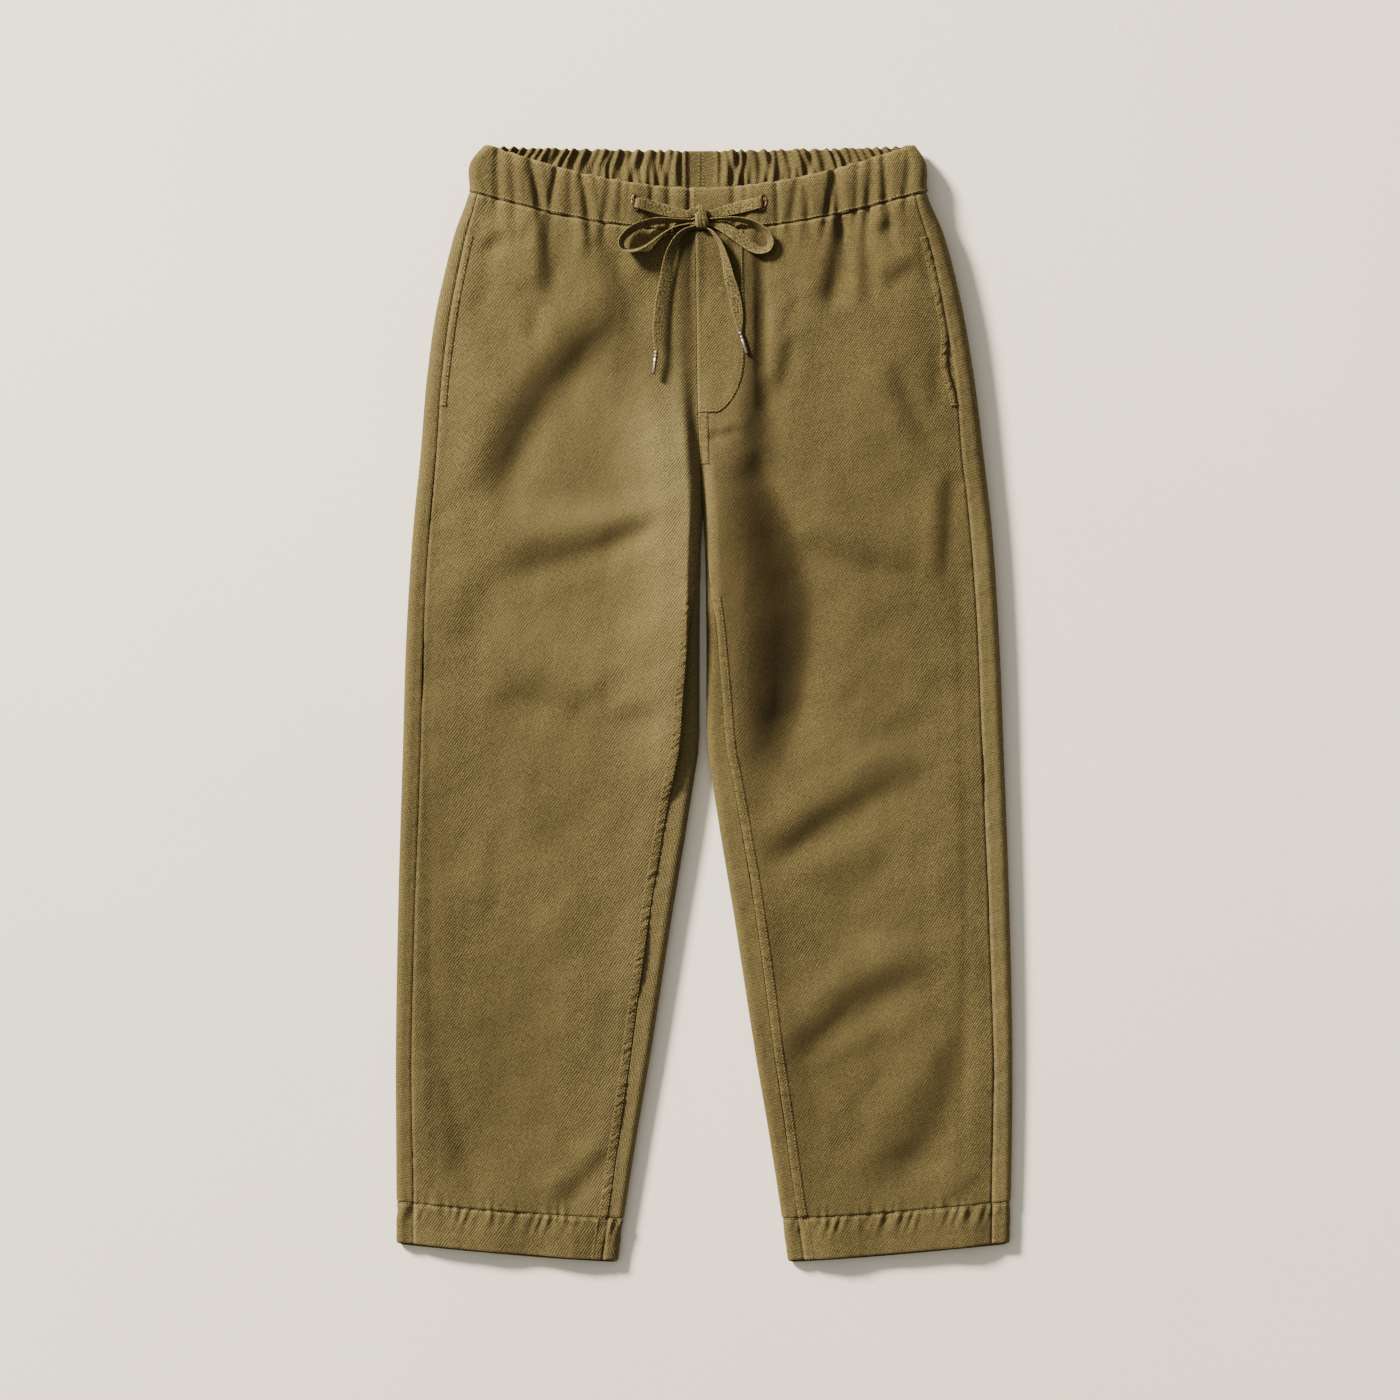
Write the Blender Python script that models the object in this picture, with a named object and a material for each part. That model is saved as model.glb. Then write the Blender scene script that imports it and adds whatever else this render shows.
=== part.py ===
"""Drawstring trousers laid flat on their back, seen from above with the waist at +Y.

Every cloth piece is a wall built on one form: a closed section across each leg at
every level of the garment, flat below, rolled at both folded edges and softly
crowned on top. A panel is the stretch of that section between its seams, and the
creases move its points along the section's own normals.
The wearer's right side is at -X. Lengths are in millimetres until make() turns a
finished mesh into metres.
"""
import math

import bmesh
import bpy
import numpy as np
from mathutils import Matrix, Vector

for leftover in list(bpy.data.objects):
    bpy.data.objects.remove(leftover, do_unlink=True)

MM = 0.001
RIGHT = -1
LEFT = 1
SIDE_NAMES = {RIGHT: "right", LEFT: "left"}

# Levels along the side of the garment, measured from its middle
WAIST_TOP = 491.0
WAIST_SEAM = 449.0
FLY_BEND = 323.0
FLY_END = 267.0
POCKET_TOP = 413.0
POCKET_END = 262.0
CROTCH = 169.0
FELL_TOP = 95.0
HEM_STITCH = -439.0
HEM_END = -475.0

# Walls and the room between pieces
CLOTH = 1.6
BAND_WALL = 2.2
HEM_WALL = 2.6
STRIP = 0.8
SEAM_GAP = 0.3
REST_GAP = 0.3

# The front hangs lower than the back at the waist, and each leg's hem slants
DIP_AT_SEAM = 34.3
DIP_AT_TOP = 38.0
BACK_DIP_AT_TOP = 3.5
HEM_SLANT = 16.0
BACK_HEM_DROP = 2.5
DIP_POWER = 1.15
SLANT_POWER = 1.3

# Widths of the pieces sewn on the fronts
POCKET_EDGE = 6.5
FLY_WIDTH = 42.0
FELL_WIDTH = 8.5
POCKET_GAPE = 5.0
POCKET_GAPE_LEVEL = 296.0
POCKET_GAPE_REACH = 36.0

# Outline and edge of the folded garment: a row for each level
#   level, half width, middle, edge height, edge roll, side seam inset right, left
OUTLINE = np.array([
    (491.0, 190.0, -3.0, 22.0, 8.0, 6.5, 8.0),
    (479.0, 199.2, -4.2, 24.0, 9.0, 7.0, 9.5),
    (449.0, 201.8, -4.5, 26.0, 10.0, 7.5, 11.0),
    (414.0, 215.0, -3.5, 25.5, 10.0, 10.5, 15.0),
    (379.0, 224.5, -3.0, 24.5, 10.0, 12.0, 16.0),
    (349.0, 231.3, -3.0, 24.0, 10.0, 13.0, 16.7),
    (288.0, 240.9, -2.2, 22.0, 9.5, 13.5, 17.0),
    (214.0, 248.6, -0.8, 20.5, 9.5, 14.2, 19.5),
    (169.0, 253.6, -0.5, 19.5, 9.0, 14.5, 19.5),
    (58.0, 261.3, -0.3, 18.0, 8.5, 15.5, 19.0),
    (-37.0, 264.8, 0.2, 16.5, 8.0, 16.0, 19.5),
    (-186.0, 269.7, 0.7, 15.0, 8.0, 15.0, 18.5),
    (-314.0, 272.0, 1.0, 13.5, 7.5, 14.0, 17.0),
    (-439.0, 271.0, 0.5, 12.0, 6.5, 15.0, 17.0),
    (-475.0, 270.6, 0.0, 11.0, 6.0, 15.0, 16.5),
])
# Half the gap between the legs: height along the garment, half gap
LEG_GAP = np.array([
    (169.0, 0.15), (140.0, 1.6), (100.0, 2.6), (58.0, 3.0), (-26.0, 3.0), (-45.0, 4.2),
    (-62.0, 7.0), (-121.0, 16.2), (-186.0, 27.1), (-253.0, 37.4), (-310.0, 46.2),
    (-373.0, 57.0), (-420.0, 64.5), (-458.0, 70.4), (-492.0, 75.0),
])
# Centre front line: level, x
CENTRE_FRONT = np.array([(491.0, -7.0), (449.0, -7.0), (407.0, -6.2), (254.0, -4.0), (169.0, 0.0)])
CENTRE_BACK = np.array([(491.0, -1.5), (449.0, -1.5), (169.0, 0.0)])
# How far round the inner edge the inseam has climbed onto the front: level, reach
INSEAM_REACH = np.array([(169.0, 0.0), (120.0, 6.0), (80.0, 13.0), (39.0, 17.0), (-475.0, 17.0)])

# Creases of the front: start, middle and end of each, then its height (below zero
# for a trough) and how far it spreads on its side towards the waist and the
# wearer's right, and on the other side
CREASES = np.array([
    (-126.0, 429.0, -129.0, 388.0, -148.0, 311.0, -4.5, 14.0, 26.0),
    (-93.0, 421.0, -67.0, 355.0, -45.0, 297.0, 2.5, 26.0, 18.0),
    (-80.0, 328.0, -135.0, 282.0, -174.0, 240.0, 4.0, 50.0, 24.0),
    (-174.0, 240.0, -193.0, 196.0, -198.0, 126.0, 2.5, 24.0, 16.0),
    (-34.0, 167.0, -108.0, 124.0, -190.0, 117.0, -4.0, 14.0, 28.0),
    (-170.0, 17.0, -117.0, 5.0, -46.0, -11.0, -2.0, 18.0, 34.0),
    (-116.0, -419.0, -128.0, -435.0, -139.0, -449.0, -1.5, 8.0, 12.0),
    (-17.0, 302.0, -18.0, 126.0, -17.0, -50.0, 2.5, 34.0, 12.0),
    (-10.0, 412.0, -11.0, 328.0, -10.0, 249.0, -3.0, 14.0, 6.0),
    (64.0, 399.0, 66.0, 319.0, 61.0, 258.0, -4.5, 20.0, 28.0),
    (61.0, 267.0, 47.0, 200.0, 77.0, 121.0, -6.5, 32.0, 24.0),
    (77.0, 121.0, 92.0, 47.0, 54.0, -55.0, -6.5, 40.0, 22.0),
    (122.0, 433.0, 115.0, 389.0, 103.0, 346.0, -4.0, 8.0, 15.0),
    (86.0, 133.0, 147.0, 126.0, 208.0, 124.0, -2.5, 12.0, 26.0),
    (226.0, 195.0, 210.0, 125.0, 207.0, 95.0, -2.5, 10.0, 14.0),
    (45.0, -128.0, 96.0, -91.0, 189.0, -45.0, -3.2, 14.0, 26.0),
    (62.0, -193.0, 96.0, -177.0, 132.0, -156.0, -2.2, 12.0, 24.0),
    (86.0, -285.0, 129.0, -257.0, 208.0, -217.0, -3.2, 14.0, 26.0),
    (145.0, -420.0, 184.0, -385.0, 209.0, -342.0, -2.2, 12.0, 22.0),
])
CREASE_STEPS = 8
LIT_SIDE = np.array([-0.7071, 0.7071])

# Gathers along the front of the waistband: x, depth, spread
FRONT_GATHERS = np.array([
    (-182.0, 1.6, 4.0), (-166.0, 1.2, 4.0), (-143.0, 3.0, 4.5), (-133.0, 2.2, 3.5),
    (-116.0, 1.2, 4.0), (-101.0, 2.4, 4.0), (-86.0, 1.2, 4.0), (-10.5, 2.0, 3.5),
    (79.0, 1.6, 4.5), (93.0, 1.4, 4.0), (108.0, 2.6, 4.0), (121.0, 3.0, 4.0),
    (146.0, 1.8, 4.5), (163.0, 2.0, 4.0), (180.0, 1.4, 4.0),
])
GATHER_FADE = 26.0
# Gathers of the back of the waistband, on each half
BACK_GATHERS = 22
BACK_GATHER_DEPTH = 4.2
STEPS_A_GATHER = 4
PLAIN_BY_CENTRE_BACK = 9.0

# Rows of each panel
ABOVE_CROTCH = (448.85, 425.0, 400.0, 375.0, 349.0, 323.0, 296.0, 277.5, 267.0, 250.0,
                228.0, 205.0, 186.0, 169.0)
LEG_ROWS = 18
ARC_STEPS = 12

# Eyelets: x, y, z of the middle, lean in degrees, slope of the cloth along x and y
EYELETS = {RIGHT: (-59.0, 439.0, 29.6, 4.0, -0.13, -0.12), LEFT: (52.0, 439.0, 29.9, -6.0, 0.0, -0.10)}
EYELET_HALF_WIDTH = 3.9
EYELET_HALF_HEIGHT = 7.6
EYELET_RIM = 0.8
EYELET_POINTS = 20
HOLE_HALF_WIDTH = 2.7
HOLE_HALF_HEIGHT = 6.3

# Drawstring: a flat tape, tied in a bow. Each stretch lists its middle line, the
# tape's width, and its roll: 0 lies flat, 90 stands on edge
CORD_THICKNESS = 1.5
AGLET_RADIUS = 1.8
KNOT_MIDDLE = (-2.1, 426.4, 30.4)
KNOT_RADII = (5.8, 9.6, 4.6)
TAPE_STEPS = 2
#   x, y, z, width, roll
STRETCHES = {
    "lead_right": [
        (-59.1, 438.6, 28.0, 7.6, 0), (-59.0, 438.6, 30.6, 7.8, -3), (-57.4, 438.4, 32.4, 8.8, -6),
        (-53.6, 437.7, 31.9, 10.0, -6), (-49.0, 436.6, 30.2, 10.5, -6), (-43.0, 435.0, 28.3, 10.5, -5),
        (-36.0, 433.2, 27.1, 10.5, -4), (-27.0, 431.1, 26.6, 9.5, -3), (-18.0, 429.6, 26.2, 7.6, 0),
        (-8.6, 428.6, 26.2, 5.2, 0)],
    "lead_left": [
        (52.2, 438.5, 28.4, 7.6, 0), (52.0, 438.5, 31.0, 7.8, 3), (50.3, 438.4, 32.9, 8.8, 6),
        (46.4, 437.7, 32.6, 10.0, 6), (41.0, 436.7, 30.9, 10.5, 6), (35.0, 435.4, 29.1, 10.5, 5),
        (27.0, 433.6, 27.8, 10.2, 4), (18.0, 431.5, 27.0, 9.0, 3), (10.0, 430.0, 26.8, 7.0, 0),
        (4.4, 429.0, 26.8, 5.2, 0)],
    "loop_right": [
        (-8.4, 424.2, 28.4, 5.0, -80), (-14.0, 423.7, 28.4, 6.0, -78), (-22.0, 423.2, 29.6, 8.0, -72),
        (-32.0, 423.0, 30.8, 9.5, -62), (-42.0, 422.2, 32.0, 10.0, -57), (-52.0, 419.6, 33.6, 10.0, -55),
        (-61.0, 415.6, 35.1, 10.0, -55), (-68.0, 410.0, 36.3, 10.0, -58), (-71.8, 403.2, 36.9, 10.0, -62),
        (-70.0, 397.8, 37.0, 10.0, -66), (-63.5, 396.0, 36.8, 10.0, -70), (-55.0, 398.0, 35.6, 10.0, -76),
        (-45.5, 403.8, 33.7, 10.0, -82), (-35.5, 411.4, 31.7, 9.5, -84), (-26.0, 417.0, 30.2, 8.0, -84),
        (-16.5, 419.8, 28.4, 6.0, -82), (-8.0, 420.6, 28.4, 5.0, -80)],
    "loop_left": [
        (4.2, 424.6, 28.8, 5.0, 80), (10.0, 424.6, 29.2, 6.0, 80), (19.0, 424.6, 30.2, 8.0, 76),
        (29.0, 424.0, 31.9, 9.5, 70), (39.0, 421.9, 33.5, 10.0, 68), (49.0, 417.8, 33.9, 10.0, 66),
        (56.4, 411.2, 33.4, 10.0, 64), (59.4, 403.8, 32.7, 10.0, 62), (57.0, 398.2, 32.2, 10.0, 58),
        (50.0, 396.8, 31.9, 10.0, 46), (42.5, 400.0, 31.4, 10.0, 26), (34.0, 406.4, 31.0, 10.3, 16),
        (25.5, 412.6, 30.4, 10.2, 12), (16.0, 417.8, 28.8, 8.0, 10), (9.5, 419.8, 27.8, 5.5, 10),
        (4.4, 420.6, 27.5, 4.2, 10)],
    "tail_right": [
        (-6.6, 418.0, 28.5, 5.0, -66), (-12.0, 416.2, 28.5, 6.5, -68), (-17.8, 412.8, 29.1, 8.0, -68),
        (-22.6, 407.2, 30.1, 9.5, -68), (-26.2, 400.4, 30.6, 10.0, -66), (-28.9, 393.0, 30.5, 10.4, -56),
        (-31.0, 384.5, 30.0, 10.5, -46), (-32.4, 375.8, 29.6, 10.5, -42), (-34.8, 363.4, 29.5, 10.5, -38),
        (-37.0, 351.0, 29.8, 10.2, -34), (-39.0, 336.0, 30.4, 9.6, -30), (-40.4, 320.5, 30.8, 7.5, -20),
        (-41.0, 309.0, 31.3, 3.4, 0)],
    "tail_left": [
        (2.2, 417.0, 29.0, 4.4, 74), (8.0, 412.8, 31.0, 6.5, 74), (12.5, 407.0, 31.8, 8.0, 70),
        (16.3, 399.5, 32.3, 9.5, 66), (19.2, 390.0, 32.2, 10.2, 56), (21.4, 381.0, 31.4, 10.5, 44),
        (23.4, 372.0, 30.4, 10.5, 30), (26.0, 363.4, 29.3, 10.5, 14), (28.8, 351.0, 28.8, 10.4, 8),
        (31.0, 338.5, 28.8, 8.6, 4), (32.5, 325.6, 29.1, 3.4, 0)],
}
# Aglets: the middle of each end
AGLETS = {
    RIGHT: ((-41.0, 308.6, 31.4), (-43.4, 288.0, 31.9)),
    LEFT: ((32.6, 325.2, 29.2), (38.7, 305.7, 29.4)),
}

OLIVE = (0.235, 0.175, 0.075, 1.0)
OLIVE_CORD = (0.285, 0.22, 0.105, 1.0)
METAL = (0.55, 0.50, 0.42, 1.0)


def finish(name, colour, roughness, metallic=0.0):
    """A plain Principled material."""
    material = bpy.data.materials.new(name)
    material.use_nodes = True
    shader = material.node_tree.nodes["Principled BSDF"]
    shader.inputs["Base Color"].default_value = colour
    shader.inputs["Roughness"].default_value = roughness
    shader.inputs["Metallic"].default_value = metallic
    return material


TWILL = finish("olive_twill", OLIVE, 0.9)
TAPE = finish("woven_tape", OLIVE_CORD, 0.85)
FITTING = finish("dull_metal", METAL, 0.35, 1.0)


def ease(t):
    """0 to 1 with no slope at either end."""
    t = np.clip(t, 0.0, 1.0)
    return t * t * (3.0 - 2.0 * t)


def smooth_table(place, stations, values):
    """A smooth curve through a short table, read at a place."""
    order = np.argsort(stations)
    stations = np.asarray(stations)[order]
    values = np.asarray(values)[order]
    slopes = np.gradient(values, stations)
    place = np.clip(place, stations[0], stations[-1])
    k = np.clip(np.searchsorted(stations, place, side="right") - 1, 0, len(stations) - 2)
    width = stations[k + 1] - stations[k]
    t = (place - stations[k]) / width
    start = (1.0 + 2.0 * t) * (1.0 - t) ** 2 * values[k] + t * (1.0 - t) ** 2 * width * slopes[k]
    end = t * t * (3.0 - 2.0 * t) * values[k + 1] + t * t * (t - 1.0) * width * slopes[k + 1]
    return start + end


def outline(level):
    """Half width, middle, edge height, edge roll and seam insets at a level."""
    return [float(smooth_table(level, OUTLINE[:, 0], OUTLINE[:, k])) for k in range(1, 7)]


def creases(x, y):
    """Height of the front's creases over the plain form."""
    spots = np.stack([x, y], axis=-1)
    total = np.zeros(len(spots))
    for row in CREASES:
        start, middle, end = row[0:2], row[2:4], row[4:6]
        height, lit, shaded = row[6:9]
        t = np.linspace(0.0, 1.0, CREASE_STEPS + 1)[:, None]
        line = (1 - t) ** 2 * start + 2 * t * (1 - t) * middle + t * t * end
        nearest = np.full(len(spots), 1e9)
        facing = np.zeros(len(spots))
        for a, b in zip(line[:-1], line[1:]):
            along = np.clip((spots - a) @ (b - a) / ((b - a) @ (b - a)), 0.0, 1.0)
            away = spots - (a + along[:, None] * (b - a))
            distance = np.linalg.norm(away, axis=1)
            closer = distance < nearest
            nearest = np.where(closer, distance, nearest)
            facing = np.where(closer, away @ LIT_SIDE / (distance + 1e-6), facing)
        spread = (lit + shaded) / 2 + (lit - shaded) / 2 * facing
        total += height * np.exp(-((nearest / spread) ** 2))
    return total


def front_gathers(x, level):
    """Troughs of the elastic, full in the waistband and fading below it."""
    depth = np.zeros(len(x))
    for place, deep, spread in FRONT_GATHERS:
        depth -= deep * np.exp(-(((x - place) / spread) ** 2))
    return depth * np.exp(-max(WAIST_SEAM - level, 0.0) / GATHER_FADE)


def path_table(distance, z, x, y, relief, outward):
    """Rows of a run across the section: x, y, z, normal x, normal z, relief, arc length."""
    dx = np.gradient(distance)
    dz = np.gradient(z)
    size = np.hypot(dx, dz)
    away = -outward * dz / size
    up = outward * dx / size
    step = np.hypot(np.diff(distance), np.diff(z))
    length = np.concatenate([[0.0], np.cumsum(step)])
    return np.stack([x, y, z, away, up, relief, length], axis=1)


def section(level, side):
    """The top run and the bottom run of one side, both from its outermost point inwards."""
    half, middle, height, roll = outline(level)[:4]
    outer = middle + side * half
    down = np.clip((WAIST_SEAM - level) / (WAIST_SEAM - CROTCH), 0.0, 1.0)
    if level > CROTCH:
        front_end = float(smooth_table(level, *CENTRE_FRONT.T)) + side * SEAM_GAP / 2
        back_end = float(smooth_table(level, *CENTRE_BACK.T)) + side * SEAM_GAP / 2
        front_turn = math.radians(6.0 + 84.0 * down ** 4)
        rise = float(ease((CROTCH + 55.0 - level) / 55.0))
        back_turn = math.radians(0.5 + 89.5 * rise)
        front_roll = 28.0 + (9.0 - 28.0) * down
        back_roll = 45.0 + (9.0 - 45.0) * rise
        slant = 0.0
    else:
        along = (CROTCH - level) / (CROTCH - HEM_END)
        slant = HEM_SLANT * along ** SLANT_POWER
        front_end = side * float(np.interp(-(level - slant), -LEG_GAP[:, 0], LEG_GAP[:, 1]))
        back_end = front_end
        front_turn = back_turn = math.radians(90.0)
        front_roll = back_roll = 9.0 + (6.0 - 9.0) * along
    crown = 4.0 if level > CROTCH else 4.0 - 1.5 * ease((CROTCH - level) / 200.0)
    dip = DIP_AT_SEAM * (1.0 - down)
    dip += (DIP_AT_TOP - DIP_AT_SEAM) * ease((level - WAIST_SEAM) / (WAIST_TOP - WAIST_SEAM))
    back_dip = BACK_DIP_AT_TOP * ease((level - WAIST_SEAM) / (WAIST_TOP - WAIST_SEAM))
    below = ease((HEM_STITCH + 60.0 - level) / 96.0)

    def run(end, turn, inner_roll, is_top):
        width = abs(outer - end)
        quarter = np.linspace(0.0, math.pi / 2, ARC_STEPS + 1)
        bend = np.linspace(0.0, turn, ARC_STEPS + 1)
        flat = np.linspace(roll, width - inner_roll, 61)[1:-1]
        distance = np.concatenate([
            roll * (1.0 - np.cos(quarter)), flat,
            width - inner_roll + inner_roll * np.sin(bend) / math.sin(turn)])
        edge = np.concatenate([
            height / 2 * (1.0 - np.sin(quarter)), np.zeros(len(flat)),
            height / 2 * (1.0 - np.cos(bend))])
        x = outer - side * distance
        over = ease((distance - roll) / 40.0) * ease((width - inner_roll - distance) / 30.0)
        across = np.clip(np.abs(x - middle) / half, 0.0, 1.0)
        sag = (1.0 - across ** 2) ** DIP_POWER
        tilt = slant * (1.0 - (1.0 - np.clip(distance / width, 0.0, 1.0)) ** SLANT_POWER)
        upper = edge * 0.0 + 1.0 if level > CROTCH else 1.0 - edge / height
        rounded = distance < roll
        upper = np.where(rounded, 1.0 - edge / height, upper)
        if not is_top:
            upper = np.where(rounded, edge / height, 0.0 if level > CROTCH else edge / height)
        y = level - tilt - upper * dip * sag - (1.0 - upper) * (back_dip * sag + BACK_HEM_DROP * below)
        if not is_top:
            return path_table(distance, edge, x, y, np.zeros(len(x)), -1.0)
        reach = ease((distance - roll + 2.0) / 14.0) * ease((width - distance - 1.0) / 12.0)
        relief = creases(x, y) * reach
        relief += front_gathers(x, level) * ease((distance - roll) / 6.0)
        return path_table(distance, height - edge + crown * over, x, y, relief, 1.0)

    top = run(front_end, front_turn, front_roll, True)
    bottom = run(back_end, back_turn, back_roll, False)
    # A run's distance goes inwards, so its normals are turned into x here
    top[:, 3] *= -side
    bottom[:, 3] *= -side
    return top, bottom


def read(path, places):
    """A run read at places along its length."""
    return np.stack([np.interp(places, path[:, 6], path[:, k]) for k in range(6)], axis=1)


def cut(path, start, end):
    """The part of a run between two places, with its length from zero."""
    inside = path[(path[:, 6] > start + 1e-6) & (path[:, 6] < end - 1e-6)]
    ends = read(path, np.array([start, end]))
    ends = np.concatenate([ends, [[start], [end]]], axis=1)
    piece = np.concatenate([ends[:1], inside, ends[1:]])
    piece[:, 6] -= start
    return piece


def backwards(path):
    """A run walked from its far end."""
    turned = path[::-1].copy()
    turned[:, 6] = path[-1, 6] - turned[:, 6]
    return turned


def joined(*paths):
    """Runs end to end, each from the point where the last one stopped."""
    whole = paths[0]
    for path in paths[1:]:
        step = path[1:].copy()
        step[:, 6] += whole[-1, 6]
        whole = np.concatenate([whole, step])
    return whole


def side_seam(level, side, top):
    """Where the side seam lies along the top run."""
    inset = outline(level)[4 if side == RIGHT else 5]
    distance = side * (top[0, 0] - top[:, 0])
    return float(np.interp(inset, distance, top[:, 6]))


def pocket_gape(level, side):
    """How far the left pocket's mouth stands open."""
    if side == RIGHT:
        return 0.0
    return POCKET_GAPE * float(ease(1.0 - abs(level - POCKET_GAPE_LEVEL) / POCKET_GAPE_REACH))


def front_path(level, side):
    """The front panel's run, from the side seam to the centre front or the inseam."""
    top = section(level, side)[0]
    start = side_seam(level, side, top) + SEAM_GAP / 2 + pocket_gape(level, side)
    end = top[-1, 6]
    if level <= CROTCH:
        end -= float(smooth_table(level, *INSEAM_REACH.T)) + SEAM_GAP / 2
    return cut(top, start, end)


def back_path(level, side):
    """The back panel's run, from the side seam round the edge and under the leg."""
    top, bottom = section(level, side)
    start = backwards(cut(top, 0.0, side_seam(level, side, top) - SEAM_GAP / 2))
    if level > CROTCH:
        return joined(start, bottom)
    reach = float(smooth_table(level, *INSEAM_REACH.T)) - SEAM_GAP / 2
    if reach < 0.1:
        return joined(start, cut(bottom, 0.0, bottom[-1, 6] + min(reach, 0.0)))
    climb = backwards(cut(top, top[-1, 6] - reach, top[-1, 6]))
    return joined(start, bottom, climb)


def fly_edge(level):
    """Width left of the fly's curved edge at a level; below the fly, an even column."""
    if level >= FLY_BEND:
        return FLY_WIDTH
    if level >= FLY_END:
        drop = (FLY_BEND - level) / (FLY_BEND - FLY_END + 0.6)
        return FELL_WIDTH + 2.0 + (FLY_WIDTH - FELL_WIDTH - 2.0) * math.sqrt(1.0 - drop ** 2)
    return 20.0 + 10.0 * float(ease((FLY_END - level) / 40.0))


def front_places(level, path):
    """Columns of a front: pocket edge, open cloth, fly, then the fell's width."""
    total = path[-1, 6]
    fly = total - fly_edge(level)
    cloth = np.linspace(POCKET_EDGE, fly, 9)
    under_fly = np.linspace(fly, total - FELL_WIDTH, 4)[1:]
    return np.concatenate([[0.0], cloth, under_fly, [total - FELL_WIDTH / 2, total]])


def back_places(level, path):
    """Columns of a back: round the outer edge, across the flat, up the inner edge."""
    total = path[-1, 6]
    lying = np.flatnonzero(path[:, 2] < 0.02)
    first, last = path[lying[0], 6], path[lying[-1], 6]
    last = min(last, total - 12.0)
    return np.concatenate([np.linspace(0.0, first, 7), np.linspace(first, last, 3)[1:],
                           np.linspace(last, total, 6)[1:]])


def grid(levels, side, path_of, places_of):
    """Outer points and normals of a panel, a row for each level."""
    points, normals = [], []
    for level in levels:
        path = path_of(level, side)
        spots = read(path, places_of(level, path))
        away = np.stack([spots[:, 3], np.zeros(len(spots)), spots[:, 4]], axis=1)
        away /= np.linalg.norm(away, axis=1)[:, None]
        points.append(spots[:, :3] + away * spots[:, 5:6])
        normals.append(away)
    return np.array(points), np.array(normals)


def make(name, bm, material):
    """A mesh in millimetres becomes an object in metres."""
    bmesh.ops.scale(bm, vec=(MM, MM, MM), verts=bm.verts)
    mesh = bpy.data.meshes.new(name)
    bm.to_mesh(mesh)
    bm.free()
    mesh.shade_smooth()
    mesh.set_sharp_from_angle(angle=math.radians(40))
    mesh.materials.append(material)
    piece = bpy.data.objects.new(name, mesh)
    bpy.context.scene.collection.objects.link(piece)
    return piece


def wall(name, points, normals, over, thickness, material, closed=False):
    """A cloth wall: a grid laid on the points, moved out, then thickened inwards."""
    rows, columns = points.shape[:2]
    outer = (points + normals * over).reshape(-1, 3)
    inner = (points + normals * (over - thickness)).reshape(-1, 3)
    bm = bmesh.new()
    place = bm.verts.layers.int.new("place")
    bmesh.ops.create_grid(bm, x_segments=columns - 1, y_segments=rows - 1, size=1.0)
    bm.verts.ensure_lookup_table()
    for k, vert in enumerate(bm.verts):
        vert.co = outer[k]
        vert[place] = k
    if closed:
        bmesh.ops.remove_doubles(bm, verts=bm.verts, dist=0.001)
    bmesh.ops.triangulate(bm, faces=bm.faces, quad_method="FIXED")
    copy = bmesh.ops.extrude_face_region(bm, geom=bm.faces[:])
    for vert in copy["geom"]:
        if isinstance(vert, bmesh.types.BMVert):
            vert.co = inner[vert[place]]
    bmesh.ops.recalc_face_normals(bm, faces=bm.faces)
    return make(name, bm, material)


def rows_between(points, normals, levels, start, end):
    """The rows of a panel from one level down to another, cut between its own rows."""
    levels = np.asarray(levels)
    wanted = [start] + [lv for lv in levels if end + 0.5 < lv < start - 0.5] + [end]
    row = np.interp(-np.array(wanted), -levels, np.arange(len(levels)))
    low = np.clip(np.floor(row).astype(int), 0, len(levels) - 2)
    part = (row - low)[:, None, None]
    return (points[low] * (1 - part) + points[low + 1] * part,
            normals[low] * (1 - part) + normals[low + 1] * part)


def trouser_leg(side):
    """Front, back, hem and the strips sewn along one front."""
    name = SIDE_NAMES[side]
    legs = np.linspace(CROTCH, HEM_STITCH + SEAM_GAP / 2, LEG_ROWS + 1)[1:]
    levels = list(ABOVE_CROTCH) + list(legs)
    front, front_normals = grid(levels, side, front_path, front_places)
    back, back_normals = grid(levels, side, back_path, back_places)
    wall("front_" + name, front, front_normals, 0.0, CLOTH, TWILL)
    wall("back_" + name, back, back_normals, 0.0, CLOTH, TWILL)

    hem_levels = (HEM_STITCH - SEAM_GAP / 2, (HEM_STITCH + HEM_END) / 2, HEM_END)
    over, over_normals = grid(hem_levels, side, front_path, front_places)
    under, under_normals = grid(hem_levels, side, back_path, back_places)
    ring = np.concatenate([over, under[:, -2:0:-1], over[:, :1]], axis=1)
    ring_normals = np.concatenate([over_normals, under_normals[:, -2:0:-1], over_normals[:, :1]], axis=1)
    wall("hem_" + name, ring, ring_normals, 0.0, HEM_WALL, TWILL, closed=True)

    lifted = REST_GAP + STRIP
    edge, edge_normals = rows_between(front, front_normals, levels, POCKET_TOP, POCKET_END)
    wall("pocket_edge_" + name, edge[:, :2], edge_normals[:, :2], lifted, STRIP, TWILL)
    fell, fell_normals = rows_between(front, front_normals, levels, FELL_TOP, levels[-1])
    wall("inseam_fell_" + name, fell[:, -3:], fell_normals[:, -3:], lifted, STRIP, TWILL)
    if side == RIGHT:
        return
    fly, fly_normals = rows_between(front, front_normals, levels, levels[0], FLY_END)
    wall("fly_flap", fly[:, 9:], fly_normals[:, 9:], lifted + 0.2, STRIP + 0.2, TWILL)
    fell, fell_normals = rows_between(front, front_normals, levels, FLY_END - SEAM_GAP, 216.0)
    wall("crotch_fell", fell[:, -3:], fell_normals[:, -3:], lifted, STRIP, TWILL)
    pocket_facing(levels, side)


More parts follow.
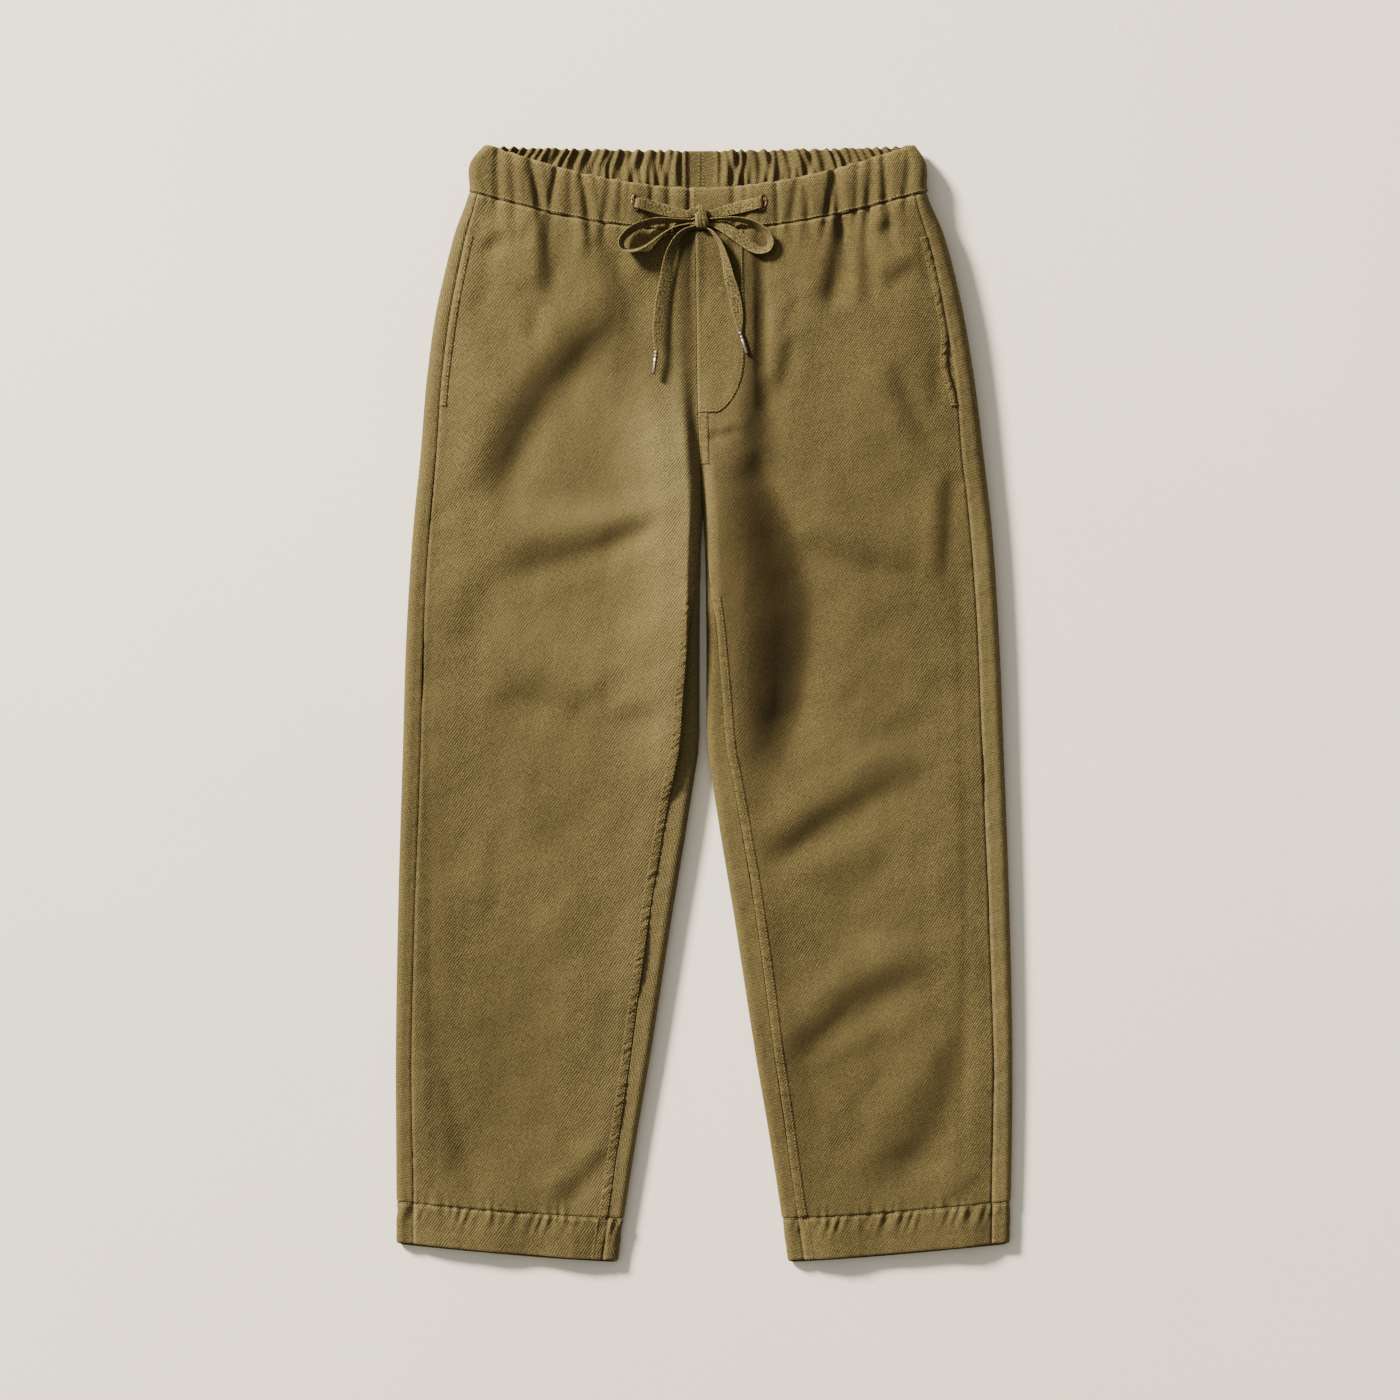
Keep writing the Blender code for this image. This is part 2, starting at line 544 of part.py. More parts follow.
def pocket_facing(levels, side):
    """The strip that backs the open mouth of the left pocket."""
    def path(level, which):
        top = section(level, which)[0]
        seam = side_seam(level, which, top)
        return cut(top, seam - 6.0, seam + 14.0)

    def places(level, run):
        return np.linspace(0.0, run[-1, 6], 4)

    rows = [lv for lv in levels if POCKET_END - 5.0 < lv < POCKET_TOP]
    points, normals = grid(rows, side, path, places)
    wall("pocket_facing_left", points, normals, -CLOTH - 2 * REST_GAP, STRIP, TWILL)


def waistband(side):
    """One half of the waistband, from the centre front round the side to the centre back."""
    def path(level, which):
        top, bottom = section(level, which)
        back = bottom.copy()
        lying = np.clip((back[:, 6] - back[ARC_STEPS, 6]) / (back[-1, 6] - back[ARC_STEPS, 6]), 0.0, 1.0)
        wave = lying * BACK_GATHERS
        shift = 0.22 * np.sin(1.9 * wave) + 0.07 * np.sin(4.1 * wave + 1.0)
        depth = BACK_GATHER_DEPTH * (0.68 + 0.32 * np.sin(2.7 * wave + side))
        depth *= ease((back[-1, 6] - back[:, 6] - PLAIN_BY_CENTRE_BACK) / 6.0)
        depth *= 0.3 + 0.7 * ease((level - WAIST_SEAM) / 14.0)
        back[:, 5] = -depth * (0.5 - 0.5 * np.cos(2 * math.pi * (wave - shift)))
        return joined(backwards(top), back)

    def places(level, run):
        under = run[-1, 6]
        lowest = np.flatnonzero(run[:, 2] < 0.02)[0]
        start = run[lowest, 6]
        highest = np.flatnonzero(run[:lowest, 2] > run[:lowest, 2].max() - 4.5)[-1]
        shoulder = run[highest, 6]
        wave = np.arange(BACK_GATHERS * STEPS_A_GATHER + 1) / STEPS_A_GATHER
        flat = start + (under - start) * wave / BACK_GATHERS
        return np.concatenate([np.linspace(0.0, shoulder, 37), np.linspace(shoulder, start, 9)[1:], flat[1:]])

    levels = (WAIST_TOP, (WAIST_TOP + WAIST_SEAM) / 2, WAIST_SEAM + SEAM_GAP / 2)
    points, normals = grid(levels, side, path, places)
    return wall("waistband_" + SIDE_NAMES[side], points, normals, 0.0, BAND_WALL, TWILL)


def eyelet(side):
    """A worked ring that lies on the band round the hole that the tape leaves by."""
    x, y, z, lean, slope_x, slope_y = EYELETS[side]
    turn = math.radians(lean)
    curve = bpy.data.curves.new("eyelet_" + SIDE_NAMES[side], "CURVE")
    curve.dimensions = "3D"
    curve.bevel_depth = EYELET_RIM * MM
    curve.bevel_resolution = 1
    ring = curve.splines.new("POLY")
    ring.points.add(EYELET_POINTS - 1)
    ring.use_cyclic_u = True
    for k, point in enumerate(ring.points):
        angle = 2 * math.pi * k / EYELET_POINTS
        across = EYELET_HALF_WIDTH * math.cos(angle)
        along = EYELET_HALF_HEIGHT * math.sin(angle)
        dx = across * math.cos(turn) - along * math.sin(turn)
        dy = across * math.sin(turn) + along * math.cos(turn)
        height = z + slope_x * dx + slope_y * dy
        point.co = ((x + dx) * MM, (y + dy) * MM, height * MM, 1.0)
    curve.materials.append(FITTING)
    piece = bpy.data.objects.new("eyelet_" + SIDE_NAMES[side], curve)
    bpy.context.scene.collection.objects.link(piece)


def eyelet_hole(side, band):
    """Cuts the slot under the eyelet through the front of the band."""
    x, y, z, lean = EYELETS[side][:4]
    bm = bmesh.new()
    bmesh.ops.create_cone(bm, cap_ends=True, segments=16, radius1=1.0, radius2=1.0, depth=8.0)
    bmesh.ops.scale(bm, vec=(HOLE_HALF_WIDTH, HOLE_HALF_HEIGHT, 1.0), verts=bm.verts)
    bmesh.ops.rotate(bm, cent=(0, 0, 0), matrix=Matrix.Rotation(math.radians(lean), 3, "Z"), verts=bm.verts)
    bmesh.ops.translate(bm, vec=(x, y, z - 2.0), verts=bm.verts)
    cutter = make("hole_cutter_" + SIDE_NAMES[side], bm, TWILL)
    cutter.hide_render = True
    cutter.display_type = "WIRE"
    hole = band.modifiers.new("eyelet hole", "BOOLEAN")
    hole.object = cutter


def smooth_route(rows):
    """A smooth curve through a stretch's rows, a few steps to each."""
    rows = np.array(rows, float)
    run = np.concatenate([[0.0], np.cumsum(np.linalg.norm(np.diff(rows[:, :3], axis=0), axis=1))])
    fine = np.interp(np.arange(TAPE_STEPS * (len(rows) - 1) + 1) / TAPE_STEPS, np.arange(len(rows)), run)
    return np.stack([smooth_table(fine, run, rows[:, k]) for k in range(5)], axis=1)


def tape(name, rows):
    """A flat tape along a stretch, its thin sides pointed, its ends closed."""
    route = smooth_route(rows)
    middle = route[:, :3]
    ahead = np.gradient(middle, axis=0)
    ahead /= np.linalg.norm(ahead, axis=1)[:, None]
    level_ahead = np.array(middle[np.minimum(np.arange(len(middle)) + 3, len(middle) - 1)]
                           - middle[np.maximum(np.arange(len(middle)) - 3, 0)])
    across = np.stack([-level_ahead[:, 1], level_ahead[:, 0], np.zeros(len(middle))], axis=1)
    across -= ahead * np.sum(across * ahead, axis=1)[:, None]
    across /= np.linalg.norm(across, axis=1)[:, None]
    above = np.cross(ahead, across)
    roll = np.radians(route[:, 4])[:, None]
    wide = across * np.cos(roll) + above * np.sin(roll)
    thick = np.cross(ahead, wide)
    half, deep = route[:, 3:4] / 2, CORD_THICKNESS / 2
    shoulder = half - deep * 0.7
    corners = [wide * half, wide * shoulder + thick * deep, -wide * shoulder + thick * deep,
               -wide * half, -wide * shoulder - thick * deep, wide * shoulder - thick * deep]
    rings = np.stack([middle + corner for corner in corners + corners[:1]], axis=1)
    bm = bmesh.new()
    bmesh.ops.create_grid(bm, x_segments=6, y_segments=len(rings) - 1, size=1.0)
    bm.verts.ensure_lookup_table()
    for vert, place in zip(bm.verts, rings.reshape(-1, 3)):
        vert.co = place
    bmesh.ops.remove_doubles(bm, verts=bm.verts, dist=0.001)
    bmesh.ops.holes_fill(bm, edges=bm.edges, sides=0)
    bmesh.ops.recalc_face_normals(bm, faces=bm.faces)
    return make(name, bm, TAPE)


def aglet(side):
    """The metal tip of a tail."""
    start, end = (Vector(place) for place in AGLETS[side])
    bm = bmesh.new()
    bmesh.ops.create_cone(bm, cap_ends=True, segments=10, radius1=AGLET_RADIUS * 0.8,
                          radius2=AGLET_RADIUS, depth=(end - start).length)
    turn = (start - end).to_track_quat("Z", "Y").to_matrix()
    bmesh.ops.rotate(bm, cent=(0, 0, 0), matrix=turn, verts=bm.verts)
    bmesh.ops.translate(bm, vec=(start + end) / 2, verts=bm.verts)
    make("aglet_" + SIDE_NAMES[side], bm, FITTING)


def knot():
    """The bow's knot, a rounded lump that the tape's stretches run up to."""
    bm = bmesh.new()
    bmesh.ops.create_uvsphere(bm, u_segments=16, v_segments=8, radius=1.0)
    bmesh.ops.scale(bm, vec=KNOT_RADII, verts=bm.verts)
    bmesh.ops.translate(bm, vec=KNOT_MIDDLE, verts=bm.verts)
    make("knot", bm, TAPE)


for each_side in (RIGHT, LEFT):
    trouser_leg(each_side)
    eyelet_hole(each_side, waistband(each_side))
    eyelet(each_side)
    aglet(each_side)
knot()
for stretch, stations in STRETCHES.items():
    tape("cord_" + stretch, stations)
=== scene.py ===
"""The finished looks of the drawstring trousers, built around their packed construction model.

Garment tables are in millimetres, as on a pattern maker's sheet, and meshes in metres.
The drawstring's route is in metres. The wearer's right side is at -X, the waist at +Y.
"""
import math

import bmesh
import bpy
import numpy as np
from mathutils import Matrix, Vector


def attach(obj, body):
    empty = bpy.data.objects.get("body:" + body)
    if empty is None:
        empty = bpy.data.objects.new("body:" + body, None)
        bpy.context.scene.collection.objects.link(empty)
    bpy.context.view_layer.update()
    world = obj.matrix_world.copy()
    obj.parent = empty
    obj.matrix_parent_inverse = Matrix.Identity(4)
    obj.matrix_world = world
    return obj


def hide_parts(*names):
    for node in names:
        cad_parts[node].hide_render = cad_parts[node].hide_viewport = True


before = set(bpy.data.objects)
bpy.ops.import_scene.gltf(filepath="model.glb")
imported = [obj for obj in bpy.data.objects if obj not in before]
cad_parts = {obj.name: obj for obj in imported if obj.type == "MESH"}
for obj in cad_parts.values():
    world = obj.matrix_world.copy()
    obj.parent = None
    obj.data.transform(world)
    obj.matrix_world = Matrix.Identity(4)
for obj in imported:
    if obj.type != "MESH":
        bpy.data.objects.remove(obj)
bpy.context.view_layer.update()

MM = 0.001
RIGHT = -1
LEFT = 1
SIDE_NAMES = {RIGHT: "right", LEFT: "left"}

# The photograph: its side in pixels, what one covers, and where its middle lies
PHOTO_SIDE = 1400
PIXEL = 0.88 * MM
VIEW_MIDDLE = (-2.6 * MM, 2.6 * MM)
CAMERA_HEIGHT = 4.0
MEASURED_HEIGHT = 0.016
SENSOR = 36.0


def photo_camera():
    """Straight above, far enough off to look almost parallel, as the photograph does."""
    data = bpy.data.cameras.new("overhead")
    data.sensor_width = SENSOR
    data.lens = SENSOR * (CAMERA_HEIGHT - MEASURED_HEIGHT) / (PHOTO_SIDE * PIXEL)
    data.clip_end = 50.0
    camera = bpy.data.objects.new("overhead", data)
    camera.location = (VIEW_MIDDLE[0], VIEW_MIDDLE[1], CAMERA_HEIGHT)
    bpy.context.scene.collection.objects.link(camera)
    bpy.context.scene.camera = camera


photo_camera()

# Drawstring: a flat tape tied in a bow. Each stretch lists its middle line and width in
# metres and its roll in degrees: 0 lies flat, 90 stands on edge
TAPE_WIDTH = 0.0105
TAPE_THICKNESS = 0.0015
#   x, y, z, width, roll
LEAD_RIGHT = [
    (-0.0591, 0.4386, 0.0280, 0.0076, 0), (-0.0590, 0.4386, 0.0306, 0.0078, -3),
    (-0.0574, 0.4384, 0.0324, 0.0088, -6), (-0.0536, 0.4377, 0.0319, 0.0100, -6),
    (-0.0490, 0.4366, 0.0302, 0.0105, -6), (-0.0430, 0.4350, 0.0283, 0.0105, -5),
    (-0.0360, 0.4332, 0.0271, 0.0105, -4), (-0.0270, 0.4311, 0.0266, 0.0095, -3),
    (-0.0180, 0.4296, 0.0262, 0.0076, 0), (-0.0086, 0.4286, 0.0262, 0.0052, 0)]
LEAD_LEFT = [
    (0.0522, 0.4385, 0.0284, 0.0076, 0), (0.0520, 0.4385, 0.0310, 0.0078, 3),
    (0.0503, 0.4384, 0.0329, 0.0088, 6), (0.0464, 0.4377, 0.0326, 0.0100, 6),
    (0.0410, 0.4367, 0.0309, 0.0105, 6), (0.0350, 0.4354, 0.0291, 0.0105, 5),
    (0.0270, 0.4336, 0.0278, 0.0102, 4), (0.0180, 0.4315, 0.0270, 0.0090, 3),
    (0.0100, 0.4300, 0.0268, 0.0070, 0), (0.0044, 0.4290, 0.0268, 0.0052, 0)]
LOOP_RIGHT = [
    (-0.0084, 0.4242, 0.0284, 0.0050, -80), (-0.0140, 0.4237, 0.0284, 0.0060, -78),
    (-0.0220, 0.4232, 0.0296, 0.0080, -72), (-0.0320, 0.4230, 0.0308, 0.0095, -62),
    (-0.0420, 0.4222, 0.0320, 0.0100, -57), (-0.0520, 0.4196, 0.0336, 0.0100, -55),
    (-0.0610, 0.4156, 0.0351, 0.0100, -55), (-0.0680, 0.4100, 0.0363, 0.0100, -58),
    (-0.0718, 0.4032, 0.0369, 0.0100, -62), (-0.0700, 0.3978, 0.0370, 0.0100, -66),
    (-0.0635, 0.3960, 0.0368, 0.0100, -70), (-0.0550, 0.3980, 0.0356, 0.0100, -76),
    (-0.0455, 0.4038, 0.0337, 0.0100, -82), (-0.0355, 0.4114, 0.0317, 0.0095, -84),
    (-0.0260, 0.4170, 0.0302, 0.0080, -84), (-0.0165, 0.4198, 0.0284, 0.0060, -82),
    (-0.0080, 0.4206, 0.0284, 0.0050, -80)]
LOOP_LEFT = [
    (0.0042, 0.4246, 0.0288, 0.0050, 80), (0.0100, 0.4246, 0.0292, 0.0060, 80),
    (0.0190, 0.4246, 0.0302, 0.0080, 76), (0.0290, 0.4240, 0.0319, 0.0095, 70),
    (0.0390, 0.4219, 0.0335, 0.0100, 68), (0.0490, 0.4178, 0.0339, 0.0100, 66),
    (0.0564, 0.4112, 0.0334, 0.0100, 64), (0.0594, 0.4038, 0.0327, 0.0100, 62),
    (0.0570, 0.3982, 0.0322, 0.0100, 58), (0.0500, 0.3968, 0.0319, 0.0100, 46),
    (0.0425, 0.4000, 0.0314, 0.0100, 26), (0.0340, 0.4064, 0.0310, 0.0103, 16),
    (0.0255, 0.4126, 0.0304, 0.0102, 12), (0.0160, 0.4178, 0.0288, 0.0080, 10),
    (0.0095, 0.4198, 0.0278, 0.0055, 10), (0.0044, 0.4206, 0.0275, 0.0042, 10)]
TAIL_RIGHT = [
    (-0.0066, 0.4180, 0.0285, 0.0050, -66), (-0.0120, 0.4162, 0.0285, 0.0065, -66),
    (-0.0178, 0.4128, 0.0291, 0.0080, -62), (-0.0226, 0.4072, 0.0301, 0.0095, -54),
    (-0.0262, 0.4004, 0.0306, 0.0100, -44), (-0.0289, 0.3930, 0.0305, 0.0104, -34),
    (-0.0310, 0.3845, 0.0300, 0.0105, -26), (-0.0324, 0.3758, 0.0296, 0.0105, -22),
    (-0.0348, 0.3634, 0.0295, 0.0105, -20), (-0.0370, 0.3510, 0.0298, 0.0102, -18),
    (-0.0390, 0.3360, 0.0304, 0.0096, -16), (-0.0404, 0.3205, 0.0308, 0.0075, -10),
    (-0.0410, 0.3090, 0.0313, 0.0034, 0)]
TAIL_LEFT = [
    (0.0022, 0.4170, 0.0290, 0.0044, 74), (0.0080, 0.4128, 0.0310, 0.0065, 74),
    (0.0125, 0.4070, 0.0318, 0.0080, 70), (0.0163, 0.3995, 0.0323, 0.0095, 66),
    (0.0192, 0.3900, 0.0322, 0.0102, 56), (0.0214, 0.3810, 0.0314, 0.0105, 44),
    (0.0234, 0.3720, 0.0304, 0.0105, 30), (0.0260, 0.3634, 0.0293, 0.0105, 14),
    (0.0288, 0.3510, 0.0288, 0.0104, 8), (0.0310, 0.3385, 0.0288, 0.0086, 4),
    (0.0325, 0.3256, 0.0291, 0.0034, 0)]
# Where a tape crosses over inside the knot, on its way to a loop and on its way to a tail
THROUGH_UPPER = {RIGHT: (-0.0021, 0.4266, 0.0275, 0.0046, 40), LEFT: (-0.0021, 0.4270, 0.0295, 0.0046, -40)}
THROUGH_LOWER = {RIGHT: (-0.0014, 0.4196, 0.0278, 0.0042, -30), LEFT: (-0.0030, 0.4192, 0.0297, 0.0042, -10)}
ROUTE_STEPS = 7
TAPE_RING = 16
AGLETS = {
    RIGHT: ((-0.0410, 0.3086, 0.0314), (-0.0434, 0.2880, 0.0319)),
    LEFT: ((0.0326, 0.3252, 0.0292), (0.0387, 0.3057, 0.0294)),
}
AGLET_RADIUS = 0.0018
KNOT_MIDDLE = Vector((-0.0021, 0.4264, 0.0304))


def smooth_table(place, stations, values):
    """A smooth curve through a short table, read at a place."""
    order = np.argsort(stations)
    stations = np.asarray(stations)[order]
    values = np.asarray(values)[order]
    slopes = np.gradient(values, stations)
    place = np.clip(place, stations[0], stations[-1])
    k = np.clip(np.searchsorted(stations, place, side="right") - 1, 0, len(stations) - 2)
    width = stations[k + 1] - stations[k]
    t = (place - stations[k]) / width
    start = (1.0 + 2.0 * t) * (1.0 - t) ** 2 * values[k] + t * (1.0 - t) ** 2 * width * slopes[k]
    end = t * t * (3.0 - 2.0 * t) * values[k + 1] + t * t * (t - 1.0) * width * slopes[k + 1]
    return start + end


def smooth_route(rows):
    """A smooth curve through a tape's rows."""
    rows = np.array(rows, float)
    run = np.concatenate([[0.0], np.cumsum(np.linalg.norm(np.diff(rows[:, :3], axis=0), axis=1))])
    fine = np.interp(np.arange(ROUTE_STEPS * (len(rows) - 1) + 1) / ROUTE_STEPS, np.arange(len(rows)), run)
    return np.stack([smooth_table(fine, run, rows[:, k]) for k in range(5)], axis=1)


def put_in_scene(name, mesh, material, angle=40.0):
    """An object at the origin, smooth but for its sharp edges."""
    mesh.shade_smooth()
    mesh.set_sharp_from_angle(angle=math.radians(angle))
    mesh.materials.append(material)
    piece = bpy.data.objects.new(name, mesh)
    bpy.context.scene.collection.objects.link(piece)
    return piece


def lay_grid(name, outer, uv, material, inner=None, closed=False, marks=None, ends=False):
    """A grid laid on points; with inner points it becomes a wall between the two."""
    rows, columns = outer.shape[:2]
    count = rows * columns
    bm = bmesh.new()
    place = bm.verts.layers.int.new("place")
    bmesh.ops.create_grid(bm, x_segments=columns - 1, y_segments=rows - 1, size=1.0)
    bm.verts.ensure_lookup_table()
    for k, vert in enumerate(bm.verts):
        vert[place] = k
    if inner is not None:
        bmesh.ops.extrude_face_region(bm, geom=bm.faces[:])
    bm.verts.index_update()
    places = np.array([vert[place] for vert in bm.verts])
    mesh = bpy.data.meshes.new(name)
    bm.to_mesh(mesh)
    bm.free()
    spots = outer.reshape(-1, 3)[places]
    if inner is not None:
        second = np.arange(len(places)) >= count
        spots = np.where(second[:, None], inner.reshape(-1, 3)[places], spots)
    mesh.vertices.foreach_set("co", spots.astype(np.float32).ravel())
    corners = np.empty(len(mesh.loops), dtype=np.int32)
    mesh.loops.foreach_get("vertex_index", corners)
    layer = mesh.uv_layers.new(name="UVMap")
    layer.uv.foreach_set("vector", uv.reshape(-1, 2)[places][corners].astype(np.float32).ravel())
    for label, values in (marks or {}).items():
        mark = mesh.attributes.new(label, "FLOAT", "POINT")
        mark.data.foreach_set("value", values.ravel()[places].astype(np.float32))
    bm = bmesh.new()
    bm.from_mesh(mesh)
    if closed:
        bmesh.ops.remove_doubles(bm, verts=bm.verts, dist=1e-6)
    if ends:
        bmesh.ops.holes_fill(bm, edges=bm.edges, sides=0)
    bmesh.ops.recalc_face_normals(bm, faces=bm.faces)
    bm.to_mesh(mesh)
    bm.free()
    return put_in_scene(name, mesh, material)


def tape(name, rows, material):
    """A flat tape of woven cotton with soft thick selvedges, along a route."""
    route = smooth_route(rows)
    middle = route[:, :3]
    ahead = np.gradient(middle, axis=0)
    ahead /= np.linalg.norm(ahead, axis=1)[:, None]
    wide_step = 3 * ROUTE_STEPS // 2
    later = np.minimum(np.arange(len(middle)) + wide_step, len(middle) - 1)
    earlier = np.maximum(np.arange(len(middle)) - wide_step, 0)
    level_ahead = middle[later] - middle[earlier]
    across = np.stack([-level_ahead[:, 1], level_ahead[:, 0], np.zeros(len(middle))], axis=1)
    across -= ahead * np.sum(across * ahead, axis=1)[:, None]
    across /= np.linalg.norm(across, axis=1)[:, None]
    above = np.cross(ahead, across)
    roll = np.radians(route[:, 4])[:, None]
    wide = across * np.cos(roll) + above * np.sin(roll)
    thick = np.cross(ahead, wide)
    turn = 2 * math.pi * np.arange(TAPE_RING + 1) / TAPE_RING
    side = np.sign(np.cos(turn)) * np.abs(np.cos(turn)) ** 0.6
    face = np.sign(np.sin(turn)) * np.abs(np.sin(turn)) ** 0.7 * (0.86 + 0.14 * side ** 4)
    rings = (middle[:, None] + wide[:, None] * (side[None, :, None] * route[:, 3, None, None] / 2)
             + thick[:, None] * (face[None, :, None] * TAPE_THICKNESS / 2))
    run = np.concatenate([[0.0], np.cumsum(np.linalg.norm(np.diff(middle, axis=0), axis=1))])
    uv = np.stack(np.broadcast_arrays(run[:, None], (side * TAPE_WIDTH / 2)[None, :]), axis=-1)
    piece = lay_grid(name, rings, uv, material, closed=True, ends=True)
    return piece, middle, float(run[-1])


class Wiring:
    """Adds nodes to a tree, left to right, and joins them."""

    # The Mix node's colour sockets, which share their names with its other ones
    COLOUR_A = 6
    COLOUR_B = 7
    COLOUR_OUT = 2

    def __init__(self, tree):
        self.tree = tree
        self.steps = 0

    def add(self, kind, **settings):
        node = self.tree.nodes.new(kind)
        self.steps += 1
        node.location = (180 * (self.steps % 8), -220 * (self.steps // 8))
        for key, value in settings.items():
            setattr(node, key, value)
        return node

    def put(self, socket, value):
        """A link where the value is a socket, and a plain setting where it isn't."""
        if isinstance(value, bpy.types.NodeSocket):
            self.tree.links.new(value, socket)
        else:
            socket.default_value = value

    def calc(self, operation, first, second=0.0, third=None):
        node = self.add("ShaderNodeMath", operation=operation)
        self.put(node.inputs[0], first)
        self.put(node.inputs[1], second)
        if third is not None:
            self.put(node.inputs[2], third)
        return node.outputs[0]

    def noise(self, vector, scale, detail=2.0, roughness=0.5):
        node = self.add("ShaderNodeTexNoise")
        self.put(node.inputs["Vector"], vector)
        self.put(node.inputs["Scale"], scale)
        node.inputs["Detail"].default_value = detail
        node.inputs["Roughness"].default_value = roughness
        return node.outputs["Fac"]

    def blend(self, amount, first, second, way="MIX"):
        node = self.add("ShaderNodeMix", data_type="RGBA", blend_type=way)
        self.put(node.inputs["Factor"], amount)
        self.put(node.inputs[self.COLOUR_A], first)
        self.put(node.inputs[self.COLOUR_B], second)
        return node.outputs[self.COLOUR_OUT]

    def span(self, value, low, high, to_low=0.0, to_high=1.0):
        node = self.add("ShaderNodeMapRange")
        self.put(node.inputs["Value"], value)
        node.inputs["From Min"].default_value = low
        node.inputs["From Max"].default_value = high
        node.inputs["To Min"].default_value = to_low
        node.inputs["To Max"].default_value = to_high
        return node.outputs["Result"]

    def use(self, group, **values):
        node = self.add("ShaderNodeGroup", node_tree=group)
        for key, value in values.items():
            self.put(node.inputs[key.replace("_", " ")], value)
        return node


def new_group(name, inputs, outputs):
    """An empty node group with named sockets: (name, kind, default) in, (name, kind) out."""
    group = bpy.data.node_groups.new(name, "ShaderNodeTree")
    for label, kind, default in inputs:
        socket = group.interface.new_socket(label, in_out="INPUT", socket_type=kind)
        if default is not None:
            socket.default_value = default
    for label, kind in outputs:
        group.interface.new_socket(label, in_out="OUTPUT", socket_type=kind)
    wires = Wiring(group)
    return group, wires, wires.add("NodeGroupInput").outputs, wires.add("NodeGroupOutput").inputs


FLOAT = "NodeSocketFloat"
VECTOR = "NodeSocketVector"


def twill_group():
    """Ribs that climb to the right, broken into the short slanted floats of the threads."""
    group, wires, given, out = new_group(
        "Twill weave",
        [("Vector", VECTOR, None), ("Pitch", FLOAT, 0.002), ("Climb", FLOAT, 55.0)],
        [("Height", FLOAT), ("Rib", FLOAT), ("Slub", FLOAT)])
    uneven = wires.noise(given["Vector"], 160.0, 3.0)
    apart = wires.add("ShaderNodeSeparateXYZ")
    wires.put(apart.inputs[0], given["Vector"])
    climb = wires.calc("RADIANS", given["Climb"])
    cosine = wires.calc("COSINE", climb)
    sine = wires.calc("SINE", climb)
    over = wires.calc("SUBTRACT", wires.calc("MULTIPLY", apart.outputs[1], cosine),
                      wires.calc("MULTIPLY", apart.outputs[0], sine))
    along = wires.calc("ADD", wires.calc("MULTIPLY", apart.outputs[0], cosine),
                       wires.calc("MULTIPLY", apart.outputs[1], sine))
    rib_place = wires.calc("ADD", wires.calc("DIVIDE", over, given["Pitch"]),
                           wires.calc("MULTIPLY", uneven, 1.5))
    rib = wires.calc("SINE", wires.calc("MULTIPLY", rib_place, 2 * math.pi))
    row = wires.calc("FLOOR", rib_place)
    float_place = wires.calc("ADD", wires.calc("DIVIDE", along, given["Pitch"]),
                             wires.calc("MULTIPLY", row, 0.37))
    threads = wires.calc("SINE", wires.calc("MULTIPLY", float_place, 1.6 * math.pi))
    fibre = wires.noise(given["Vector"], 1500.0, 2.0, 0.6)
    height = wires.calc("MULTIPLY_ADD", rib, 0.32, 0.45)
    height = wires.calc("MULTIPLY_ADD", threads, 0.14, height)
    height = wires.calc("MULTIPLY_ADD", fibre, 0.35, height)
    wires.put(out["Height"], height)
    leaning = wires.add("ShaderNodeCombineXYZ")
    wires.put(leaning.inputs[0], wires.calc("MULTIPLY", along, 330.0))
    wires.put(leaning.inputs[1], wires.calc("MULTIPLY", over, 640.0))
    wires.put(out["Slub"], wires.span(wires.noise(leaning.outputs[0], 1.0, 3.0, 0.6), 0.34, 0.66))
    wires.put(out["Rib"], wires.calc("MULTIPLY_ADD", rib, 0.3, wires.calc("MULTIPLY_ADD", threads, 0.2, 0.5)))
    return group


def dye_group():
    """Uneven garment dye: broad clouds, and streaks where the cloth was creased in the wash."""
    group, wires, given, out = new_group(
        "Garment dye", [("Vector", VECTOR, None), ("Streaks", FLOAT, 0.5)], [("Shade", FLOAT)])
    clouds = wires.span(wires.noise(given["Vector"], 9.0, 3.0), 0.3, 0.7)
    patches = wires.span(wires.noise(given["Vector"], 38.0, 4.0, 0.6), 0.3, 0.7)
    drawn = wires.add("ShaderNodeMapping", vector_type="POINT")
    wires.put(drawn.inputs["Vector"], given["Vector"])
    drawn.inputs["Rotation"].default_value = (0.0, 0.0, math.radians(28.0))
    drawn.inputs["Scale"].default_value = (60.0, 14.0, 14.0)
    streaks = wires.span(wires.noise(drawn.outputs[0], 1.0, 4.0, 0.65), 0.35, 0.7)
    shade = wires.calc("MULTIPLY_ADD", clouds, 0.4, wires.calc("MULTIPLY", patches, 0.35))
    shade = wires.calc("ADD", shade, wires.calc("MULTIPLY", streaks, wires.calc("MULTIPLY", given["Streaks"], 0.5)))
    wires.put(out["Shade"], shade)
    return group


def wear_and_painted_light_group():
    """Pale patches: a piece's own worn places and its painted light, broken up by a grain."""
    group, wires, given, out = new_group(
        "Rubbed seams", [("Vector", VECTOR, None), ("Wear", FLOAT, 0.0)], [("Mask", FLOAT)])
    grain = wires.span(wires.noise(given["Vector"], 420.0, 4.0, 0.7), 0.35, 0.65, 0.25, 1.0)
    wires.put(out["Mask"], wires.calc("MULTIPLY", given["Wear"], grain))
    return group


